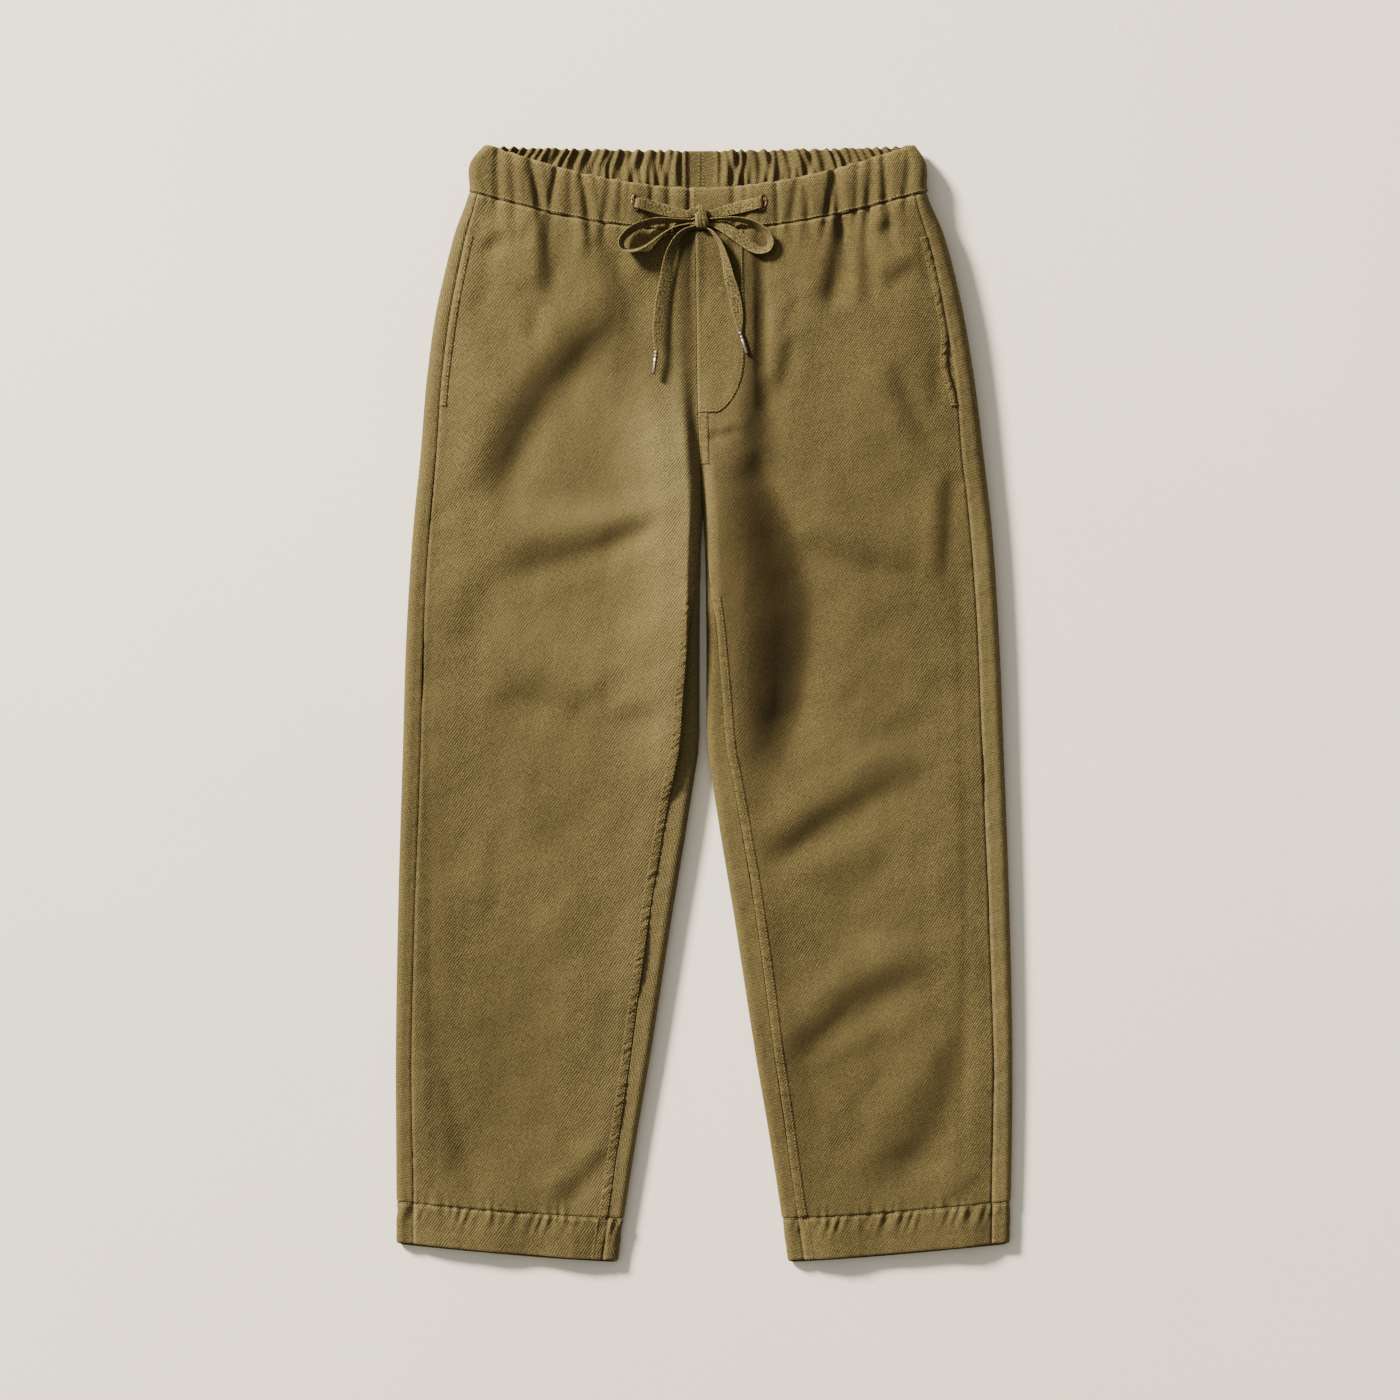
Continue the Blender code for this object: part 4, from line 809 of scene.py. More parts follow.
def creases(x, y, table):
    """Height of a table's creases over the plain form."""
    spots = np.stack([x, y], axis=-1)
    total = np.zeros(x.shape)
    for row in table:
        height, lit, shaded = row[6:9]
        far = 2.6 * max(lit, shaded)
        box_low = row[:6].reshape(3, 2).min(axis=0) - far
        box_high = row[:6].reshape(3, 2).max(axis=0) + far
        near = np.all((spots > box_low) & (spots < box_high), axis=-1)
        if not near.any():
            continue
        close = spots[near]
        start, middle, end = row[0:2], row[2:4], row[4:6]
        t = np.linspace(0.0, 1.0, CREASE_STEPS + 1)[:, None]
        line = (1 - t) ** 2 * start + 2 * t * (1 - t) * middle + t * t * end
        nearest = np.full(len(close), 1e9)
        facing = np.zeros(len(close))
        for a, b in zip(line[:-1], line[1:]):
            along = np.clip((close - a) @ (b - a) / ((b - a) @ (b - a)), 0.0, 1.0)
            away = close - (a + along[:, None] * (b - a))
            distance = np.linalg.norm(away, axis=1)
            closer = distance < nearest
            nearest = np.where(closer, distance, nearest)
            facing = np.where(closer, away @ LIT_SIDE / (distance + 1e-6), facing)
        spread = (lit + shaded) / 2 + (lit - shaded) / 2 * facing
        total[near] += height * bell(nearest, spread)
    return total


def paint_light_and_shade_patches(sheet):
    """Soft patches of painted light, added to the wear mask, and of painted shade, added to the hollow mask."""
    for x, y, reach_x, reach_y, amount in PAINTED_LIGHT_AND_SHADE_PATCHES:
        patch = abs(amount) * bell(np.hypot((sheet.x - x) / reach_x, (sheet.y - y) / reach_y), 1.0)
        # Painted light above 0, painted shade below it
        if amount > 0:
            sheet.wear_and_painted_light = sheet.wear_and_painted_light + patch
        else:
            sheet.hollow = 1.0 - (1.0 - sheet.hollow) * (1.0 - patch)


def hem_wave(sheet):
    """The slow rise and fall of the front towards its hem, which does not lie quite flat."""
    rise = 1.3 * np.sin(sheet.x / 17.0 + 1.0) + 0.8 * np.sin(sheet.x / 9.5 + 2.0)
    return rise * ease((HEM_STITCH + 50.0 - sheet.level) / 86.0) * sheet.reach


def wobble(along, wave, seed=0.0):
    """An uneven ripple along a seam."""
    turn = 2 * math.pi * along / wave
    ripple = np.sin(turn + 1.3 * np.sin(0.31 * turn + seed)) + 0.5 * np.sin(0.57 * turn + 2.0 + seed)
    return ripple * (0.62 + 0.38 * np.sin(0.17 * turn + 3.0 * seed))


def softness(x, y):
    """The slight unevenness that cloth keeps all over."""
    total = np.zeros(x.shape)
    for k in range(14):
        angle = 2.399963 * k
        wave = 34.0 + 9.0 * k
        place = x * math.cos(angle) + y * math.sin(angle)
        bent = place + 9.0 * np.sin((x * math.sin(angle) - y * math.cos(angle)) / (21.0 + 3.0 * k) + k)
        total += (wave / 150.0) * np.sin(2 * math.pi * bent / wave + 1.7 * k)
    return total * 0.42


def path_table(distance, z, x, y, reach, gather, outward):
    """Rows of a run across the section, in the columns named above."""
    dx = np.gradient(distance)
    dz = np.gradient(z)
    size = np.hypot(dx, dz)
    away = -outward * dz / size
    up = outward * dx / size
    step = np.hypot(np.diff(distance), np.diff(z))
    length = np.concatenate([[0.0], np.cumsum(step)])
    return np.stack([x, y, z, away, up, reach, gather, length], axis=1)


def section(level, side):
    """The top run and the bottom run of one side, both from its outermost point inwards."""
    half, middle, height, roll = outline(level)[:4]
    outer = middle + side * half
    down = np.clip((WAIST_SEAM - level) / (WAIST_SEAM - CROTCH), 0.0, 1.0)
    if level > CROTCH:
        front_end = float(smooth_table(level, *CENTRE_FRONT.T)) + side * SEAM_GAP / 2
        back_end = float(smooth_table(level, *CENTRE_BACK.T)) + side * SEAM_GAP / 2
        front_turn = math.radians(6.0 + 84.0 * down ** 4)
        rise = float(ease((CROTCH + 55.0 - level) / 55.0))
        back_turn = math.radians(0.5 + 89.5 * rise)
        front_roll = 28.0 + (9.0 - 28.0) * down
        back_roll = 45.0 + (9.0 - 45.0) * rise
        slant = 0.0
    else:
        along = (CROTCH - level) / (CROTCH - HEM_END)
        slant = HEM_SLANT * along ** SLANT_POWER
        front_end = side * float(np.interp(-(level - slant), -LEG_GAP[:, 0], LEG_GAP[:, 1]))
        back_end = front_end
        front_turn = back_turn = math.radians(90.0)
        front_roll = back_roll = 9.0 + (6.0 - 9.0) * along
    crown = 4.0 if level > CROTCH else 4.0 - 1.5 * ease((CROTCH - level) / 200.0)
    dip = DIP_AT_SEAM * (1.0 - down)
    dip += (DIP_AT_TOP - DIP_AT_SEAM) * ease((level - WAIST_SEAM) / (WAIST_TOP - WAIST_SEAM))
    back_dip = BACK_DIP_AT_TOP * ease((level - WAIST_SEAM) / (WAIST_TOP - WAIST_SEAM))
    below = ease((HEM_STITCH + 60.0 - level) / 96.0)

    def run(end, turn, inner_roll, is_top):
        width = abs(outer - end)
        quarter = np.linspace(0.0, math.pi / 2, ARC_STEPS + 1)
        bend = np.linspace(0.0, turn, ARC_STEPS + 1)
        flat = np.linspace(roll, width - inner_roll, FLAT_STEPS)[1:-1]
        distance = np.concatenate([
            roll * (1.0 - np.cos(quarter)), flat,
            width - inner_roll + inner_roll * np.sin(bend) / math.sin(turn)])
        edge = np.concatenate([
            height / 2 * (1.0 - np.sin(quarter)), np.zeros(len(flat)),
            height / 2 * (1.0 - np.cos(bend))])
        x = outer - side * distance
        over = ease((distance - roll) / 40.0) * ease((width - inner_roll - distance) / 30.0)
        across = np.clip(np.abs(x - middle) / half, 0.0, 1.0)
        sag = (1.0 - across ** 2) ** DIP_POWER
        tilt = slant * (1.0 - (1.0 - np.clip(distance / width, 0.0, 1.0)) ** SLANT_POWER)
        rounded = distance < roll
        upper = np.ones(len(x)) if level > CROTCH else 1.0 - edge / height
        upper = np.where(rounded, 1.0 - edge / height, upper)
        if not is_top:
            upper = np.where(rounded, edge / height, 0.0 if level > CROTCH else edge / height)
        y = level - tilt - upper * dip * sag - (1.0 - upper) * (back_dip * sag + BACK_HEM_DROP * below)
        if not is_top:
            nothing = np.zeros(len(x))
            return path_table(distance, edge, x, y, nothing, nothing, -1.0)
        reach = ease((distance - roll + 2.0) / 14.0) * ease((width - distance - 1.0) / 12.0)
        gather = ease((distance - roll) / 6.0)
        return path_table(distance, height - edge + crown * over, x, y, reach, gather, 1.0)

    top = run(front_end, front_turn, front_roll, True)
    bottom = run(back_end, back_turn, back_roll, False)
    # A run's distance goes inwards, so its normals are turned into x here
    top[:, AWAY] *= -side
    bottom[:, AWAY] *= -side
    return top, bottom


def read(path, places):
    """A run read at places along its length."""
    return np.stack([np.interp(places, path[:, LENGTH], path[:, k]) for k in range(LENGTH)], axis=1)


def cut(path, start, end):
    """The part of a run between two places, with its length from zero."""
    inside = path[(path[:, LENGTH] > start + 1e-6) & (path[:, LENGTH] < end - 1e-6)]
    ends = read(path, np.array([start, end]))
    ends = np.concatenate([ends, [[start], [end]]], axis=1)
    piece = np.concatenate([ends[:1], inside, ends[1:]])
    piece[:, LENGTH] -= start
    return piece


def backwards(path):
    """A run walked from its far end."""
    turned = path[::-1].copy()
    turned[:, LENGTH] = path[-1, LENGTH] - turned[:, LENGTH]
    return turned


def joined(*paths):
    """Runs end to end, each from the point where the last one stopped."""
    whole = paths[0]
    for path in paths[1:]:
        step = path[1:].copy()
        step[:, LENGTH] += whole[-1, LENGTH]
        whole = np.concatenate([whole, step])
    return whole


def side_seam(level, side, top):
    """Where the side seam lies along the top run."""
    inset = outline(level)[4 if side == RIGHT else 5]
    distance = side * (top[0, X] - top[:, X])
    return float(np.interp(inset, distance, top[:, LENGTH]))


def pocket_gape(level, side):
    """How far the left pocket's mouth stands open."""
    if side == RIGHT:
        return 0.0
    return POCKET_GAPE * float(ease(1.0 - abs(level - POCKET_GAPE_LEVEL) / POCKET_GAPE_REACH))


def front_path(level, side):
    """The front panel's run, from the side seam to the centre front or the inseam."""
    top = section(level, side)[0]
    start = side_seam(level, side, top) + SEAM_GAP / 2 + pocket_gape(level, side)
    end = top[-1, LENGTH]
    if level <= CROTCH:
        end -= float(smooth_table(level, *INSEAM_REACH.T)) + SEAM_GAP / 2
    return cut(top, start, end)


def back_path(level, side):
    """The back panel's run, from the side seam round the edge and under the leg."""
    top, bottom = section(level, side)
    start = backwards(cut(top, 0.0, side_seam(level, side, top) - SEAM_GAP / 2))
    if level > CROTCH:
        return joined(start, bottom)
    reach = float(smooth_table(level, *INSEAM_REACH.T)) - SEAM_GAP / 2
    if reach < 0.1:
        return joined(start, cut(bottom, 0.0, bottom[-1, LENGTH] + min(reach, 0.0)))
    climb = backwards(cut(top, top[-1, LENGTH] - reach, top[-1, LENGTH]))
    return joined(start, bottom, climb)


def facing_path(level, side):
    """The strip under the open mouth of the left pocket."""
    top = section(level, side)[0]
    seam = side_seam(level, side, top)
    return cut(top, seam - 6.0, seam + 14.0)


def band_path(level, side):
    """The waistband's run, from the centre front round the side to the centre back."""
    top, bottom = section(level, side)
    lying = (bottom[:, LENGTH] - bottom[ARC_STEPS, LENGTH]) / (bottom[-1, LENGTH] - bottom[ARC_STEPS, LENGTH])
    back = bottom.copy()
    # Under the band, this column holds how far along the back's gathers a point is
    back[:, REACH] = -1.0 - np.clip(lying, 0.0, 1.0) * BACK_GATHERS
    return joined(backwards(top), back)


def fly_edge(level):
    """Width left of the fly's curved edge at a level."""
    if level >= FLY_BEND:
        return FLY_WIDTH
    drop = np.clip((FLY_BEND - level) / (FLY_BEND - FLY_END + 0.6), 0.0, 1.0)
    return FELL_WIDTH + 2.0 + (FLY_WIDTH - FELL_WIDTH - 2.0) * math.sqrt(1.0 - drop ** 2)


class Sheet:
    """A sheet laid on the form: a row for each level, a column for each place across it."""

    def __init__(self, levels, side, path_of, places_of, up=1.0):
        self.side = side
        self.level = np.array(levels, float)[:, None]
        spots, starts, ends, grain = [], [], [], []
        for level in levels:
            path = path_of(level, side)
            places = np.asarray(places_of(level, path), float)
            spots.append(read(path, places))
            starts.append(places)
            ends.append(path[-1, LENGTH] - places)
            # The cloth's grain runs up the middle of the leg, where it lies flat
            lying = path[path[:, UP] * up > 0.9] if (path[:, UP] * up > 0.9).any() else path
            middle = lying[np.argmin(np.abs(np.abs(lying[:, X]) - GRAIN_X))]
            turn = -side if middle[X] * (lying[-1, X] - lying[0, X]) < 0 else side
            grain.append(middle[X] + turn * (places - middle[LENGTH]))
        spots = np.array(spots)
        self.plain = spots[..., :3]
        self.x, self.y = spots[..., X], spots[..., Y]
        self.reach, self.gather = spots[..., REACH], spots[..., GATHER]
        normals = np.stack([spots[..., AWAY], np.zeros(self.x.shape), spots[..., UP]], axis=-1)
        self.normals = normals / np.linalg.norm(normals, axis=-1)[..., None]
        self.from_start, self.from_end = np.array(starts), np.array(ends)
        self.uv = np.stack([np.array(grain), np.broadcast_to(self.level, self.x.shape)], axis=-1) * MM
        self.height = np.zeros(self.x.shape)
        # Per point: how worn it is together with the light painted on it, and how much shade is painted on it
        self.wear_and_painted_light = np.zeros(self.x.shape)
        self.hollow = np.zeros(self.x.shape)

    def points(self, over=0.0):
        """The sheet's outer points, in millimetres, moved out by so much."""
        return self.plain + self.normals * (self.height + over)[..., None]


def make_wall(name, sheet, thickness, material, over=0.0, rounded=0.0, closed=False):
    """A finished piece of cloth: the sheet's outer points, and its own inner ones."""
    outer = sheet.points(over) * MM
    inner = sheet.points(over - thickness) * MM
    # The wear mask carries painted light as well, and the hollow mask carries painted shade
    marks = {"wear_and_painted_light": sheet.wear_and_painted_light, "hollow": sheet.hollow}
    piece = lay_grid(name, outer, sheet.uv, material, inner=inner, closed=closed, marks=marks)
    if rounded:
        soften = piece.modifiers.new("rounded edges", "BEVEL")
        soften.width = rounded * MM
        soften.segments = 2
        soften.limit_method = "ANGLE"
        soften.angle_limit = math.radians(62.0)
    return piece


# Columns across a front, and places close to an edge, where a seam pulls the cloth in
FRONT_COLUMNS = 130
HEM_COLUMNS = 190
EDGE_PLACES = np.array([0.0, 0.5, 1.1, 1.9, 2.9, 4.2])


def between(start, end, count):
    """Places from one edge to the other, closer together beside both."""
    inner = EDGE_PLACES[-1]
    middle = np.linspace(start + inner, end - inner, count + 1)[1:-1]
    return np.concatenate([start + EDGE_PLACES, middle, end - EDGE_PLACES[::-1]])


def across_front(level, path):
    """Columns of a front panel: the same number at every level."""
    return between(0.0, path[-1, LENGTH], FRONT_COLUMNS)


def across_hem(level, path):
    """Columns of a hem's front, close enough for its puckers."""
    return between(0.0, path[-1, LENGTH], HEM_COLUMNS)


def across_back(level, path):
    """Columns of a back panel: close round its rolled edges, wide apart where it lies flat."""
    total = path[-1, LENGTH]
    lying = np.flatnonzero(path[:, Z] < 0.02)
    first, last = path[lying[0], LENGTH], path[lying[-1], LENGTH]
    last = min(last, total - 12.0)
    start = np.concatenate([EDGE_PLACES, np.linspace(EDGE_PLACES[-1], first, 20)[1:]])
    flat = np.linspace(first, last, 34)[1:]
    climb = np.linspace(last, total - EDGE_PLACES[-1], 14)[1:]
    return np.concatenate([start, flat, climb, total - EDGE_PLACES[-2::-1]])


def band_gathers(x, level):
    """Troughs of the elastic, full in the waistband and fading below it."""
    climb = (level - WAIST_SEAM) / (WAIST_TOP - WAIST_SEAM)
    depth = np.zeros(np.broadcast(x, level).shape)
    for place, deep, spread, lean in FRONT_GATHERS:
        bend = 1.6 * lean * climb + 1.2 * np.sin(2.4 * climb + 0.3 * place)
        depth -= 1.8 * deep * bell(x - place - bend, spread * (1.1 - 0.25 * climb))
    for k in range(-26, 27):
        if abs(k) > 3:
            place = 7.1 * k + 2.2 * math.sin(2.3 * k)
            deep = 0.42 + 0.32 * math.sin(1.9 * k + 1.0)
            bend = 5.0 * math.sin(1.1 * k) * climb + 1.1 * np.sin(2.8 * climb + k)
            depth -= deep * bell(x - place - bend, 2.3 + 0.6 * math.sin(k)) * (0.6 + 0.4 * np.sin(2.1 * climb + 2.0 * k))
    fade = np.exp(-np.maximum(WAIST_SEAM - level, 0.0) / GATHER_FADE)
    return depth * fade


def seam(sheet, distance, depth, pucker, wave, seed, along):
    """The groove of a seam, the puckers beside it, and their crests worn pale."""
    ripple = wobble(along, wave, seed) * bell(distance - 2.5, 5.5)
    sheet.height = sheet.height - depth * bell(distance, 1.3) + pucker * ripple
    sheet.wear_and_painted_light = np.clip(sheet.wear_and_painted_light + bell(distance - 1.9, 1.3) * (0.35 + 0.25 * ripple), 0.0, 1.0)


def relieve_front(sheet):
    """Creases, gathers and seams of a front panel, and the light and shade painted on it."""
    relief, depth = folds(sheet.x, sheet.y)
    relief = relief + creases(sheet.x, sheet.y, SMALL_CREASES) + softness(sheet.x, sheet.y)
    under_bow = ease(1.7 - 1.1 * np.hypot((sheet.x - BOW_MIDDLE[0]) / BOW_REACH[0], (sheet.y - BOW_MIDDLE[1]) / BOW_REACH[1]))
    relief = np.where(relief > 0, relief * (1.0 - under_bow), relief)
    room = np.maximum(sheet.plain[..., 2] - LEAST_HEIGHT, 0.5)
    relief = np.where(relief < 0, -room * np.tanh(-relief / room), relief)
    sheet.height = relief * sheet.reach + hem_wave(sheet)
    # Painted shade on the folds' slopes that face away from the light
    sheet.hollow = depth * sheet.reach
    # Patches of painted light and painted shade
    paint_light_and_shade_patches(sheet)
    sheet.height = sheet.height + band_gathers(sheet.x, sheet.level) * sheet.gather
    seam(sheet, sheet.from_start, 1.0, 0.28, 11.0, sheet.side, sheet.level)
    seam(sheet, WAIST_SEAM - sheet.level, 1.1, 0.45, 8.5, 1.0 + sheet.side, sheet.x)
    seam(sheet, sheet.level - HEM_STITCH, 0.8, 0.6, 9.5, 2.0 + sheet.side, sheet.x)
    if sheet.level.min() < CROTCH:
        below = ease((CROTCH - sheet.level) / 30.0)
        distance = sheet.from_end + (1.0 - below) * 20.0
        seam(sheet, distance, 0.7, 0.3, 9.0, 4.0 + sheet.side, sheet.level)
        # Below the crotch: painted light along the right leg's inner edge, painted shade along the left leg's
        inner = bell(sheet.from_end - 12.0, 14.0) * below
        if sheet.side == RIGHT:
            sheet.wear_and_painted_light = sheet.wear_and_painted_light + 0.4 * inner
        else:
            sheet.hollow = 1.0 - (1.0 - sheet.hollow) * (1.0 - 0.42 * inner * ease((0.0 - sheet.level) / 60.0))


def relieve_back(sheet):
    """Seams of a back panel, and soft hollows where it lies on the floor."""
    on_front = {RIGHT: sheet.from_end, LEFT: sheet.from_start}[sheet.side]
    sheet.wear_and_painted_light = sheet.wear_and_painted_light + 0.5 * ease((22.0 - on_front) / 6.0) * ease((200.0 - sheet.level) / 60.0)
    # Patches of painted light and painted shade, as on the fronts
    paint_light_and_shade_patches(sheet)
    seam(sheet, sheet.from_start, 0.8, 0.22, 12.0, 5.0 + sheet.side, sheet.level)
    seam(sheet, WAIST_SEAM - sheet.level, 0.8, 0.0, 9.0, 6.0, sheet.x)
    seam(sheet, sheet.level - HEM_STITCH, 0.7, 0.25, 9.5, 7.0 + sheet.side, sheet.x)
    facing_down = ease(-sheet.normals[..., 2] * 4.0 - 2.0)
    hollow = 0.9 * np.abs(softness(-sheet.x, sheet.y))
    hollow = hollow + np.maximum(-0.8 * creases(-sheet.x, sheet.y, SMALL_CREASES), 0.0)
    sheet.height = sheet.height - hollow * facing_down
    sheet.height = np.minimum(sheet.height, 0.0) * facing_down + sheet.height * (1.0 - facing_down)


def relieve_hem(sheet):
    """The turned hem: puckered under its stitching, with the turning's edge showing through."""
    under_stitch = HEM_STITCH - sheet.level
    seam(sheet, under_stitch, 0.7, 0.6, 9.5, 2.0 + sheet.side, sheet.x)
    sheet.height = sheet.height - 0.55 * bell(under_stitch - 1.6, 0.8)
    puckers = wobble(sheet.x + 0.35 * under_stitch, 10.5, 2.0 + sheet.side)
    sheet.height = sheet.height + 0.9 * puckers * bell(under_stitch - 6.0, 10.0) + hem_wave(sheet)
    sheet.height = sheet.height - 0.45 * bell(under_stitch - 23.0, 1.1)
    seam(sheet, sheet.from_start, 0.9, 0.2, 9.0, sheet.side, sheet.level)
    sheet.wear_and_painted_light = np.clip(sheet.wear_and_painted_light + 0.5 * bell(sheet.from_start - 1.4, 0.7), 0.0, 1.0)
    seam(sheet, sheet.from_end, 0.9, 0.2, 9.0, sheet.side, sheet.level)
    on_top = (sheet.normals[..., 2] > 0.3) * 1.0
    fell = ease((FELL_WIDTH + 1.2 - sheet.from_end) / 1.2) * on_top
    sheet.height = sheet.height + 0.7 * fell * ease(sheet.from_end / 1.2)
    sheet.height = sheet.height - 0.35 * (bell(sheet.from_end - 1.6, 0.6) + bell(sheet.from_end - 6.9, 0.6)) * on_top
    sheet.height = sheet.height + 0.16 * wobble(sheet.x, 15.0, 1.5)
    edge = sheet.level - HEM_END
    sheet.height = sheet.height - 0.8 * bell(edge, 1.0)
    sheet.wear_and_painted_light = np.clip(sheet.wear_and_painted_light + 0.55 * bell(edge, 2.2), 0.0, 1.0)
    lowest = np.minimum(sheet.height, 0.0)
    sheet.height = np.where(sheet.normals[..., 2] < -0.5, lowest, sheet.height)


def relieve_band(sheet):
    """The waistband: leaning gathers in front, deep ones behind, and a bumpy top edge."""
    behind = sheet.reach < -0.5
    climb = (sheet.level - WAIST_SEAM) / (WAIST_TOP - WAIST_SEAM)
    front = band_gathers(sheet.x, sheet.level) * sheet.gather + 0.5 * softness(sheet.x, sheet.y)
    wave = -1.0 - sheet.reach
    lean = 0.9 * np.sin(1.3 * wave + 2.0) * (climb - 0.5)
    shift = 0.24 * np.sin(1.9 * wave) + 0.12 * np.sin(4.1 * wave + 1.0) + lean
    fold = 0.62 * np.sin(math.pi * (wave - shift)) ** 2
    fold = fold + 0.38 * np.sin(math.pi * (1.63 * wave + 0.7 * lean + 0.4)) ** 2
    depth = BACK_GATHER_DEPTH * (0.75 + 0.25 * np.sin(2.7 * wave + sheet.side))
    plain = ease((sheet.from_end - PLAIN_BY_CENTRE_BACK) / 6.0)
    depth = depth * plain * (0.35 + 0.65 * ease((sheet.level - WAIST_SEAM) / 14.0))
    edge_on = ease(-sheet.normals[..., 2] * 2.0)
    back = -depth * fold * edge_on
    sheet.height = np.where(behind, back, front)
    above = sheet.level - WAIST_SEAM
    seam(sheet, above, 1.1, 0.45, 8.5, 3.0 + sheet.side, sheet.x)
    # Painted shade under the bow: the seam's ridge is lowered there and its pale wear held back
    clear_of_bow = 1.0 - 0.85 * bell(sheet.x - BOW_MIDDLE[0], 60.0)
    sheet.height = sheet.height + 0.45 * bell(above - 1.9, 0.9) * clear_of_bow
    sheet.wear_and_painted_light = np.clip(sheet.wear_and_painted_light + 0.45 * bell(above - 1.8, 0.8), 0.0, 1.0) * clear_of_bow
    # Painted shade: the front of the band is darkened below its top 5 mm
    sheet.hollow = 0.28 * ease((WAIST_TOP - 5.0 - sheet.level) / 6.0) * ~behind
    sheet.height = np.where(behind, np.minimum(sheet.height, 0.0), sheet.height)
    top = WAIST_TOP - sheet.level
    sheet.height = sheet.height - 0.7 * bell(top, 1.1) * ~behind
    sheet.wear_and_painted_light = np.clip(sheet.wear_and_painted_light + 0.7 * bell(top, 1.6), 0.0, 1.0)
    bumps = np.where(behind, (fold - 0.5) * plain * 1.9, 0.5 * wobble(sheet.x, 13.0, 1.0))
    sheet.plain = sheet.plain.copy()
    sheet.plain[..., 1] += bumps * climb


def relieve_strip(sheet, width, from_edge, rib=0.5):
    """A strip laid over a panel: rolled at both edges, puckered between its stitching."""
    relieve_front(sheet)
    inner = np.minimum(from_edge, width - from_edge)
    sheet.height = sheet.height - 0.55 * bell(inner, 0.55) - 0.3 * bell(inner - 1.5, 0.7)
    sheet.height = sheet.height + rib * wobble(sheet.level + 0.6 * from_edge, 6.5, 2.0) * bell(inner - width / 2, width / 2.6)
    sheet.wear_and_painted_light = np.clip(sheet.wear_and_painted_light * 0.3 + 0.4 * bell(from_edge - 0.5, 0.6) + 0.12 * bell(inner - 2.6, 0.9), 0.0, 1.0)


def levels_between(top, bottom, step):
    """Levels from a piece's top edge to its bottom edge, closer together beside both."""
    count = max(int((top - bottom) / step), 2)
    return top + bottom - between(bottom, top, count)


def rest_on_body(piece, slot, *nodes):
    """Every piece is part of the one body, and hides the construction pieces it replaces; the slot is not used."""
    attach(piece, "root")
    if nodes:
        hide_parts(*nodes)
    return piece


SHEETS = {}


def cloth_piece(name, sheet, thickness, material=None, over=0.0, rounded=0.35, closed=False):
    """A wall that takes the place of the construction piece of its name."""
    piece = make_wall(name + "_cloth", sheet, thickness, material or CLOTH_FACE, over, rounded, closed)
    rest_on_body(piece, "olive_twill", name)
    SHEETS[name] = sheet
    return piece


def make_leg(side):
    """Front, back and hem of one leg."""
    name = SIDE_NAMES[side]
    levels = levels_between(WAIST_SEAM - SEAM_GAP / 2, HEM_STITCH + SEAM_GAP / 2, ROW_STEP)
    front = Sheet(levels, side, front_path, across_front)
    relieve_front(front)
    cloth_piece("front_" + name, front, CLOTH)
    back = Sheet(levels, side, back_path, across_back, up=-1.0)
    relieve_back(back)
    cloth_piece("back_" + name, back, CLOTH)

    levels = levels_between(HEM_STITCH - SEAM_GAP / 2, HEM_END, 2.4)
    over = Sheet(levels, side, front_path, across_hem)
    under = Sheet(levels, side, back_path, across_back, up=-1.0)
    relieve_hem(over)
    relieve_hem(under)
    ring = over
    for field in ("plain", "normals", "uv", "height", "wear_and_painted_light", "hollow"):
        first, second = getattr(over, field), getattr(under, field)
        setattr(ring, field, np.concatenate([first, second[:, -2:0:-1], first[:, :1]], axis=1))
    cloth_piece("hem_" + name, ring, HEM_WALL, closed=True)


def make_band(side):
    """One half of the waistband."""
    def places(level, path):
        total = path[-1, LENGTH]
        lowest = np.flatnonzero(path[:, Z] < 0.02)[0]
        start = path[lowest, LENGTH]
        highest = np.flatnonzero(path[:lowest, Z] > path[:lowest, Z].max() - 4.5)[-1]
        shoulder = path[highest, LENGTH]
        flat = np.linspace(start, total, BACK_GATHERS * STEPS_A_GATHER + 1)
        front = np.linspace(0.0, shoulder, 150)
        return np.concatenate([front, np.linspace(shoulder, start, 24)[1:], flat[1:]])

    levels = levels_between(WAIST_TOP, WAIST_SEAM + SEAM_GAP / 2, 2.4)
    band = Sheet(levels, side, band_path, places)
    relieve_band(band)
    cloth_piece("waistband_" + SIDE_NAMES[side], band, BAND_WALL, rounded=0.5)


def from_end(width, columns):
    """Places in a strip along the inner end of a run."""
    def places(level, path):
        return path[-1, LENGTH] - width * (1.0 - np.linspace(0.0, 1.0, columns))
    return places


def make_strips(side):
    """The inseam fell and the pocket's edge, laid on a front."""
    name = SIDE_NAMES[side]
    lifted = REST_GAP + STRIP
    levels = levels_between(FELL_TOP, HEM_STITCH + SEAM_GAP / 2, 1.5)
    fell = Sheet(levels, side, front_path, from_end(FELL_WIDTH, 15))
    relieve_strip(fell, FELL_WIDTH, fell.from_end)
    cloth_piece("inseam_fell_" + name, fell, STRIP, CLOTH_STRIP, over=lifted, rounded=0.2)

    levels = levels_between(POCKET_TOP, POCKET_END, 2.0)
    edge = Sheet(levels, side, front_path, lambda level, path: np.linspace(0.0, POCKET_EDGE, 13))
    relieve_strip(edge, POCKET_EDGE, edge.from_start)
    cloth_piece("pocket_edge_" + name, edge, STRIP, CLOTH_STRIP, over=lifted, rounded=0.2)


